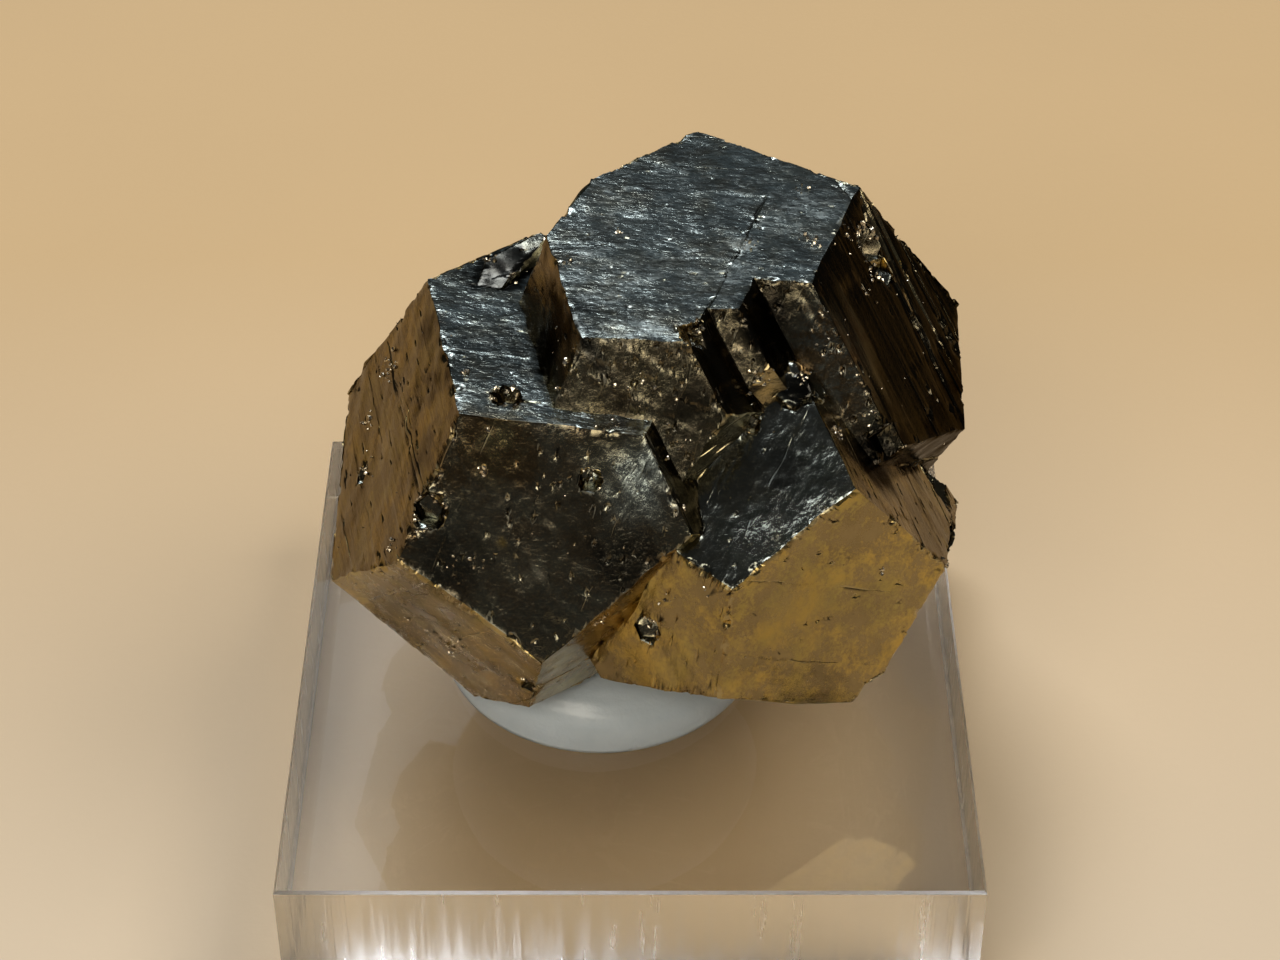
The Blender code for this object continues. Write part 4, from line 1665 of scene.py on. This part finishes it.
@dataclass(frozen=True)
class PyriteFinish:
    """Brassy sulphide: a mirror-like metal with satin streaks and specks, turned brown or grey in places, with painted
    shade in its crevices and pits, painted dark reflection on its darker faces and painted paler highlights along its
    ridges.

    Attributes:
        fresh: Colour of the clean metal.
        olive: Colour of the clean metal in broad dull clouds.
        grey: Colour where it has turned grey.
        brown: Colour where it has browned.
        pale: Colour of the satin streaks on clean metal.
        ashen: Colour of the satin streaks on grey metal.
        crevice: Colour of the painted shade in the crevices and pits, and of the painted dark reflection.
        bright_rim: Tint of what clean metal reflects at a low angle.
        dull_rim: The same of the places painted black as painted shade and painted dark reflection.
        polish: Roughness of the mirror-like parts and of the satin ones.
        fine_grain: Changes of the short streaks in each millimetre across and along the striae.
        coarse_grain: The same of the groups that they stand in.
        long_grain: The same of the long dark streaks.
        streak_satin: How far a short streak is matted.
        speckle_satin: How far a speck is matted.
        ridge_matting_and_highlight: How far a ridge is matted by wear and painted paler, a painted edge highlight.
        satin_paleness: How much of the paler colour the matted parts take.
        crevice_shade_strength: How black the painted shade in the crevices and pits is.
        least_relief: Share of the relief that a face without streaks and specks keeps.
        streak_height: Height of the streaks in metres.
        speckle_height: Height of the specks in metres.
    """

    fresh: Colour = (0.42, 0.28, 0.062, 1.0)
    olive: Colour = (0.31, 0.235, 0.068, 1.0)
    grey: Colour = (0.26, 0.3, 0.28, 1.0)
    brown: Colour = (0.17, 0.11, 0.045, 1.0)
    pale: Colour = (0.46, 0.37, 0.19, 1.0)
    ashen: Colour = (0.46, 0.51, 0.49, 1.0)
    crevice: Colour = (0.018, 0.0165, 0.015, 1.0)
    bright_rim: Colour = (1.0, 1.0, 1.0, 1.0)
    dull_rim: Colour = (0.42, 0.4, 0.38, 1.0)
    polish: Limits = (0.15, 0.5)
    fine_grain: Triple = (3.6, 1.2, 1.0)
    coarse_grain: Triple = (1.1, 0.4, 1.0)
    long_grain: Triple = (2.8, 0.26, 1.0)
    streak_satin: float = 0.5
    speckle_satin: float = 0.42
    ridge_matting_and_highlight: float = 0.7
    satin_paleness: float = 0.8
    crevice_shade_strength: float = 0.9
    least_relief: float = 0.1
    streak_height: float = 0.00003
    speckle_height: float = 0.000035

    def material(self) -> bpy.types.Material:
        """Builds the finish.

        Returns:
            The material.
        """
        tree = NodeTree("striated_pyrite")
        grain = tree.add("ShaderNodeUVMap", uv_map="grain").outputs["UV"]
        place = tree.millimetres()
        marks = tree.add("ShaderNodeVertexColor", layer_name="marks")
        short, long, speckled = tree.split(marks.outputs["Color"])
        tones = tree.add("ShaderNodeVertexColor", layer_name="tones")
        browned, cooled, painted_dark = tree.split(tones.outputs["Color"])
        wear_and_shade = tree.add("ShaderNodeAttribute", attribute_name="wear").outputs["Fac"]
        cloud = tree.noise(place, scale=0.42, detail=5.0, roughness=0.65)
        broad = tree.noise(place, scale=0.2, detail=4.0, roughness=0.6, swirl=0.6)
        fine = tree.noise(tree.scaled(grain, self.fine_grain), detail=2.0, roughness=0.55, swirl=1.5)
        coarse = tree.noise(tree.scaled(grain, self.coarse_grain), detail=4.0, roughness=0.65, swirl=1.2)
        streaks = tree.times(tree.ramp(fine, 0.4, 0.66), tree.ramp(coarse, 0.36, 0.6, 0.15))
        short_marks = tree.times(streaks, short)
        bands = tree.noise(tree.scaled(grain, self.long_grain), detail=5.0, roughness=0.7, swirl=0.6)
        long_marks = tree.times(tree.ramp(bands, 0.46, 0.66), long)
        specks = tree.noise(place, scale=3.6, detail=4.0, roughness=0.72, swirl=0.5)
        speckle = tree.times(tree.ramp(specks, 0.52, 0.68), speckled)
        # Ridges are matted and painted paler: real wear together with a painted edge highlight.
        ridge = tree.ramp(wear_and_shade, 0.35, 1.0, 0.0, self.ridge_matting_and_highlight)
        satin = tree.times(marks.outputs["Alpha"], tree.ramp(cloud, 0.35, 0.65, 0.5, 1.5))
        satin = tree.plus(satin, tree.times(short_marks, self.streak_satin))
        satin = tree.plus(satin, tree.times(speckle, self.speckle_satin))
        satin = tree.plus(satin, ridge, clamp=True)
        cool = tree.times(cooled, tree.ramp(cloud, 0.3, 0.55, 0.75))
        gold = tree.blend(tree.ramp(broad, 0.4, 0.6), self.fresh, self.olive)
        metal = tree.blend(cool, gold, self.grey)
        mottle = tree.plus(tree.times(cloud, 0.6), tree.times(specks, 0.4))
        tint = tree.times(browned, tree.ramp(mottle, 0.43, 0.57, 0.0, 1.9))
        metal = tree.blend(tree.math("MAXIMUM", tint, long_marks, clamp=True), metal, self.brown)
        light = tree.blend(cool, self.pale, self.ashen)
        metal = tree.blend(tree.times(satin, self.satin_paleness), metal, light)
        # Painted shade: crevices and shaded pits, which carry negative wear, are painted black.
        crevice_shade = tree.ramp(wear_and_shade, -0.3, -0.9, 0.0, self.crevice_shade_strength)
        # Painted black: the painted shade of crevices and pits together with the painted dark reflection of the darker
        # faces.
        black = tree.math("MAXIMUM", crevice_shade, tree.times(painted_dark, tree.ramp(mottle, 0.35, 0.65, 1.0, 0.85)))
        tree.set("Base Color", tree.blend(black, metal, self.crevice))
        # The places painted black also reflect less at a low angle.
        tree.set("Specular Tint", tree.blend(black, self.bright_rim, self.dull_rim))
        tree.set("Metallic", 1.0)
        tree.set("Roughness", tree.ramp(satin, 0.0, 1.0, *self.polish))
        raised = tree.bump(tree.times(fine, tree.plus(short, self.least_relief)), self.streak_height)
        lines = tree.bump(tree.times(bands, long), self.streak_height, raised)
        grains = tree.bump(tree.times(specks, tree.plus(speckled, self.least_relief)), self.speckle_height, lines)
        tree.set("Normal", grains)
        return tree.material


@dataclass(frozen=True)
class GlintFinish:
    """Tiny clean crystals, brighter than what they grow on.

    Attributes:
        bright: Their colour.
        smoky: Colour of the darker ones.
        roughness: Roughness of their faces.
        grain_height: Height of the grain on them in metres.
    """

    bright: Colour = (0.62, 0.56, 0.44, 1.0)
    smoky: Colour = (0.3, 0.25, 0.18, 1.0)
    roughness: float = 0.2
    grain_height: float = 0.00001

    def material(self) -> bpy.types.Material:
        """Builds the finish.

        Returns:
            The material.
        """
        tree = NodeTree("bright_pyrite")
        place = tree.millimetres()
        share = tree.ramp(tree.noise(place, scale=1.6), 0.4, 0.6)
        tree.set("Base Color", tree.blend(share, self.bright, self.smoky))
        tree.set("Metallic", 1.0)
        tree.set("Roughness", self.roughness)
        tree.set("Normal", tree.bump(tree.noise(place, scale=9.0), self.grain_height))
        return tree.material


@dataclass(frozen=True)
class PuttyFinish:
    """Pale blue-white putty, smooth and slightly waxy.

    Attributes:
        pale: Its colour.
        shade: Its colour in darker clouds.
        skin: Least and greatest roughness of its skin.
        wax: Strength and roughness of its waxy gloss.
        glow: How much light goes in under its skin.
        glow_reach: How far red, green and blue light go there, in metres.
        dimple_height: Height of the dimples in its skin, in metres.
    """

    pale: Colour = (0.62, 0.69, 0.75, 1.0)
    shade: Colour = (0.52, 0.6, 0.66, 1.0)
    skin: Limits = (0.3, 0.42)
    wax: Pair = (0.4, 0.28)
    glow: float = 0.2
    glow_reach: Triple = (0.001, 0.0009, 0.0008)
    dimple_height: float = 0.00004

    def material(self) -> bpy.types.Material:
        """Builds the finish.

        Returns:
            The material.
        """
        tree = NodeTree("soft_putty")
        place = tree.millimetres()
        cloud = tree.noise(place, scale=0.5, detail=3.0)
        tree.set("Base Color", tree.blend(cloud, self.shade, self.pale))
        tree.set("Roughness", tree.ramp(tree.noise(place, scale=2.0), 0.3, 0.7, *self.skin))
        tree.set("Coat Weight", self.wax[0])
        tree.set("Coat Roughness", self.wax[1])
        tree.set("Subsurface Weight", self.glow)
        tree.set("Subsurface Radius", self.glow_reach)
        tree.set("Subsurface Scale", 1.0)
        dimples = tree.noise(place, scale=3.2, detail=3.0)
        tree.set("Normal", tree.bump(dimples, self.dimple_height))
        return tree.material


@dataclass(frozen=True)
class AcrylicFinish:
    """Clear cast acrylic with its top and foot polished, and a faint haze where it was sawn.

    Attributes:
        tint: Colour of the light that it lets through.
        ior: Index of refraction.
        sawn: Roughness of the sawn faces.
        sawn_spread: Least and greatest share of it that a streak of the haze has.
        ground: Roughness of the narrow ground edges.
        side_below: Height of its direction below which a face is a sawn side.
        top_above: Height of its direction above which a face is the top or the foot.
        smear: Changes of the haze in each metre, across the sides twice and up them.
    """

    tint: Colour = (0.998, 0.999, 1.0, 1.0)
    ior: float = 1.49
    sawn: float = 0.22
    sawn_spread: Limits = (0.7, 1.3)
    ground: float = 0.6
    side_below: float = 0.5
    top_above: float = 0.95
    smear: Triple = (1600.0, 1600.0, 90.0)

    def material(self) -> bpy.types.Material:
        """Builds the finish.

        Returns:
            The material.
        """
        tree = NodeTree("cast_acrylic")
        tree.set("Base Color", self.tint)
        tree.set("Transmission Weight", 1.0)
        tree.set("IOR", self.ior)
        place = tree.add("ShaderNodeTexCoord").outputs["Object"]
        facing = tree.add("ShaderNodeSeparateXYZ")
        tree.join(tree.add("ShaderNodeNewGeometry").outputs["Normal"], facing.inputs[0])
        upward = tree.math("ABSOLUTE", facing.outputs["Z"])
        side = tree.math("LESS_THAN", upward, self.side_below)
        slant = tree.math("SUBTRACT", tree.math("LESS_THAN", upward, self.top_above), side)
        smear = tree.noise(tree.scaled(place, self.smear), detail=3.0, roughness=0.6)
        haze = tree.ramp(smear, 0.3, 0.7, *(share * self.sawn for share in self.sawn_spread))
        rough = tree.plus(tree.times(side, haze), tree.times(slant, self.ground))
        tree.set("Roughness", rough)
        return tree.material


@dataclass(frozen=True)
class FloorFinish:
    """Plain pale matt floor with painted light: a little paler and cooler towards the front and to both sides of the
    block.

    Attributes:
        pale: Its colour at the back.
        front: Its colour at the front, painted paler and cooler as painted light.
        reach: Where the change starts and ends, in metres from the back to the front.
        aside: Where it starts and ends, in metres to each side.
        middle: How much of the change there is between those.
        depth: How much darker it is in faint patches.
        roughness: Roughness of its surface.
        grain_height: Height of its grain in metres.
    """

    pale: Colour = (0.605, 0.43, 0.23, 1.0)
    front: Colour = (0.64, 0.535, 0.4, 1.0)
    reach: Limits = (0.07, -0.03)
    aside: Limits = (0.008, 0.032)
    middle: float = 0.15
    depth: float = 0.05
    roughness: float = 0.85
    grain_height: float = 0.00002

    def material(self) -> bpy.types.Material:
        """Builds the finish.

        Returns:
            The material.
        """
        tree = NodeTree("plain_floor")
        place = tree.add("ShaderNodeTexCoord").outputs["Object"]
        split = tree.add("ShaderNodeSeparateXYZ")
        tree.join(place, split.inputs[0])
        # Painted light: paler towards the front and to both sides, with only a little of it along the middle.
        painted_light_ahead = tree.ramp(split.outputs["Y"], *self.reach)
        painted_light_aside = tree.ramp(tree.math("ABSOLUTE", split.outputs["X"]), *self.aside, self.middle)
        patches = tree.ramp(tree.noise(place, scale=14.0, detail=4.0), 0.3, 0.7, 0.0, self.depth)
        colour = tree.blend(tree.times(painted_light_ahead, painted_light_aside), self.pale, self.front)
        tree.set("Base Color", tree.blend(patches, colour, (0.0, 0.0, 0.0, 1.0)))
        tree.set("Roughness", self.roughness)
        tree.set("Normal", tree.bump(tree.noise(place, scale=1500.0), self.grain_height))
        return tree.material


@dataclass
class PuttyPad:
    """The putty with a softly uneven skin, pressed against the block and the crystals.

    Attributes:
        node: Name of the solid that it stands for.
        slot: Its material slot in the record; not used.
        settle: How far it is let down onto the block.
        swell: How far its contact with the crystals is raised.
        unevenness: Height of the broad waves in its skin.
        wave: Width of a wave across, along and up.
        rim: Height over which the pad's foot changes to its skin.
        facing_up: Height of its direction above which the skin touches the crystals.
        longest: Length above which an edge is split, round by round.
        crease: Angle above which an edge stays sharp, in degrees.
    """

    node: str = "mineral_putty"
    slot: str = "mineral_putty"
    settle: float = 0.28
    swell: float = 0.24
    unevenness: float = 0.12
    wave: Triple = (3.4, 2.9, 5.0)
    rim: float = 1.2
    facing_up: float = 0.2
    longest: tuple[float, ...] = (2.0, 1.0, 0.6, 0.4)
    crease: float = 40.0

    SEED = 41

    def build(self) -> Object:
        """Builds and dresses the pad.

        Returns:
            The finished object.
        """
        shape = working_copy(self.node)
        to_triangles(shape)
        for longest in self.longest:
            long_edges = [edge for edge in shape.edges if edge.calc_length() > longest]
            bmesh.ops.subdivide_edges(shape, edges=long_edges, cuts=1)
            to_triangles(shape)
        shape.normal_update()
        floor = min(corner.co.z for corner in shape.verts)
        for corner in shape.verts:
            self.press(corner, floor)
        bmesh.ops.scale(shape, verts=shape.verts, vec=(MM, MM, MM))
        mesh = to_mesh(shape, "putty_pad")
        mesh.shade_smooth()
        mesh.set_sharp_from_angle(angle=math.radians(self.crease))
        pad = to_scene("putty_pad", mesh)
        mesh.materials.append(PuttyFinish().material())
        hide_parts(self.node)
        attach(pad, "root")
        return pad

    def press(self, corner: bmesh.types.BMVert, floor: float) -> None:
        """Moves one corner of the pad.

        Args:
            corner: The corner.
            floor: Height of the solid's underside.
        """
        x, y, z = (value / width for value, width in zip(corner.co, self.wave))
        wave = smooth_noise(np.array([x]), np.array([y + z]), self.SEED)[0]
        slope = min(1.0, (corner.co.z - floor) / self.rim)
        corner.co += corner.normal * (self.unevenness * wave * slope)
        corner.co.z -= self.settle * (1.0 - slope)
        if corner.normal.z > self.facing_up:
            corner.co.z += self.swell * slope * 0.5


@dataclass
class DisplayBlock:
    """The clear block, with real saw marks down its four sides.

    Attributes:
        node: Name of the solid that it stands for.
        slot: Its material slot in the record; not used.
        edge: Width of its ground edges.
        mark: Distance between two saw marks.
        mark_depth: Greatest depth of a saw mark.
        mark_shift: Where a mark lies in its stretch, from its start (0) to its end (1).
    """

    node: str = "acrylic_block"
    slot: str = "clear_acrylic"
    edge: float = 0.2
    mark: float = 0.13
    mark_depth: float = 0.006
    mark_shift: Limits = (0.25, 0.75)

    SEED = 31

    def outline(self, half: float, inset: float) -> list[Pair]:
        """The block's outline with its saw marks, seen from above.

        Args:
            half: Half the block's side.
            inset: How far the outline lies inside the block's side.

        Returns:
            Points round the outline, anticlockwise.
        """
        chance = random.Random(self.SEED)
        count = round(2 * half / self.mark)
        points = []
        reach = half - inset
        for side in range(4):
            turn = Matrix.Rotation(side * math.pi / 2, 2)
            for step in range(count):
                share = (step + (chance.uniform(*self.mark_shift) if step else 0.0)) / count
                depth = chance.uniform(0.0, self.mark_depth) if step else 0.0
                place = turn @ Vector((reach * (2 * share - 1), -reach + depth))
                points.append((place.x, place.y))
        return points

    def build(self) -> Object:
        """Builds and dresses the block.

        Returns:
            The finished object.
        """
        _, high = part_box(self.node)
        half = high.x / MM
        height = high.z / MM
        levels = [(self.edge, 0.0), (0.0, self.edge), (0.0, height - self.edge), (self.edge, height)]
        shape = bmesh.new()
        rings = []
        for inset, level in levels:
            rings.append([shape.verts.new((x * MM, y * MM, level * MM)) for x, y in self.outline(half, inset)])
        for below, above in zip(rings, rings[1:]):
            for index in range(len(below)):
                after = (index + 1) % len(below)
                shape.faces.new((below[index], below[after], above[after], above[index]))
        shape.faces.new(rings[-1])
        shape.faces.new(list(reversed(rings[0])))
        to_triangles(shape)
        mesh = to_mesh(shape, "clear_block")
        block = to_scene("clear_block", mesh)
        mesh.materials.append(AcrylicFinish().material())
        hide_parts(self.node)
        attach(block, "root")
        return block


@dataclass(frozen=True)
class Softbox:
    """One soft studio light.

    Attributes:
        name: What it is called.
        azimuth: Where it stands round the specimen, in degrees; 0 is the back and 90 the left.
        elevation: How high it stands, in degrees.
        distance: How far away it is, in metres.
        width: Its width in metres.
        height: Its height in metres.
        colour: Colour of its light.
        brightness: How bright its face is.
    """

    name: str
    azimuth: float
    elevation: float
    distance: float
    width: float
    height: float
    colour: Triple
    brightness: float

    def build(self, target: Vector) -> Object:
        """Makes the light and turns it to the specimen.

        Args:
            target: The point that it faces, in metres.

        Returns:
            The light.
        """
        light = bpy.data.lights.new(self.name, "AREA")
        light.shape = "RECTANGLE"
        light.size = self.width
        light.size_y = self.height
        light.color = self.colour
        light.energy = self.brightness * math.pi * self.width * self.height
        lamp = to_scene(self.name, light)
        turn = math.radians(self.azimuth)
        rise = math.radians(self.elevation)
        back = Vector((-math.sin(turn) * math.cos(rise), math.cos(turn) * math.cos(rise), math.sin(rise)))
        lamp.location = target + back * self.distance
        lamp.rotation_mode = "QUATERNION"
        lamp.rotation_quaternion = (-back).to_track_quat("-Z", "Y")
        return lamp


@dataclass
class Studio:
    """Floor, lights, surroundings and camera.

    Attributes:
        floor_size: Side of the floor in metres.
        air_gap: Air between the block's foot and the floor.
        camera_place: Where the camera stands.
        camera_tilt: How far it looks down, in degrees.
        focal_pixels: Focal length in pixels of a picture 1280 wide.
        picture_width: Width of the picture in pixels.
        sensor: Width of the camera's sensor in millimetres.
        near: Distance in metres under which the camera shows nothing.
        aim: The point that the lights face, in metres.
        room: Light that comes from the room itself.
        backdrop: Colour of the plain backdrop beyond the floor.
        lights: The softboxes.
    """

    floor_size: float = 0.62
    air_gap: float = 0.08
    camera_place: Triple = (0.7, -159.9, 164.3)
    camera_tilt: float = 40.1
    focal_pixels: float = 2823.0
    picture_width: float = 1280.0
    sensor: float = 36.0
    near: float = 0.01
    aim: Triple = (0.0, 0.0, 0.025)
    room: Colour = (0.042, 0.043, 0.044, 1.0)
    backdrop: Colour = (0.6, 0.44, 0.255, 1.0)
    lights: tuple[Softbox, ...] = (
        Softbox("back_key", 28.0, 61.0, 0.55, 0.21, 0.19, (0.95, 0.98, 1.04), 13.0),
        Softbox("right_overhead", -105.0, 56.0, 0.6, 0.3, 0.3, (1.0, 0.94, 0.84), 6.2),
        Softbox("low_front", 163.0, 42.0, 0.6, 0.4, 0.24, (1.0, 0.92, 0.78), 5.4),
        Softbox("sky_left", 20.0, 46.0, 0.8, 0.3, 0.14, (0.8, 0.92, 1.0), 0.9),
        Softbox("sky_right", -14.0, 42.0, 0.8, 0.3, 0.24, (0.6, 0.8, 1.0), 0.14),
    )

    def floor(self) -> Object:
        """Makes the floor.

        Returns:
            The floor.
        """
        shape = bmesh.new()
        bmesh.ops.create_grid(shape, x_segments=1, y_segments=1, size=self.floor_size / 2)
        bmesh.ops.translate(shape, verts=shape.verts, vec=(0.0, 0.0, -self.air_gap * MM))
        mesh = to_mesh(shape, "floor")
        floor = to_scene("floor", mesh)
        mesh.materials.append(FloorFinish().material())
        return floor

    def surroundings(self) -> None:
        """Makes the dim room round the specimen, with a plain backdrop behind it."""
        world = bpy.data.worlds.new("room")
        bpy.context.scene.world = world
        world.use_nodes = True
        nodes, links = world.node_tree.nodes, world.node_tree.links
        shade = nodes.new("ShaderNodeMix")
        shade.data_type = "RGBA"
        shade.inputs[6].default_value = self.room
        shade.inputs[7].default_value = self.backdrop
        links.new(nodes.new("ShaderNodeLightPath").outputs["Is Camera Ray"], shade.inputs["Factor"])
        links.new(shade.outputs[2], nodes["Background"].inputs["Color"])

    def camera(self) -> Object:
        """Makes the camera at the photograph's viewing angle.

        Returns:
            The camera.
        """
        lens = bpy.data.cameras.new("camera")
        lens.sensor_width = self.sensor
        lens.lens = self.sensor * self.focal_pixels / self.picture_width
        lens.clip_start = self.near
        camera = to_scene("camera", lens)
        tilt = math.radians(90.0 - self.camera_tilt)
        camera.rotation_euler = (tilt, 0.0, 0.0)
        camera.location = Vector(self.camera_place) * MM
        bpy.context.scene.camera = camera
        return camera

    def build(self) -> None:
        """Builds everything round the specimen."""
        self.floor()
        self.surroundings()
        self.camera()
        for softbox in self.lights:
            softbox.build(Vector(self.aim))
        bpy.context.scene.view_settings.view_transform = "Standard"


def main() -> None:
    """Builds the specimen's pieces in order, reports each of them and sets up the studio."""
    logging.basicConfig(level=logging.INFO, format="%(name)s: %(message)s")
    crystals = PyriteCluster().build()
    tiny = TinyCrystals().build(crystals)
    pad = PuttyPad().build()
    block = DisplayBlock().build()
    for piece in (crystals, tiny, pad, block):
        LOG.info("%s: %d triangles", piece.name, len(piece.data.polygons))
    studio = Studio()
    studio.build()
    LOG.info("studio: %d lights", len(studio.lights))


if __name__ == "__main__":
    main()
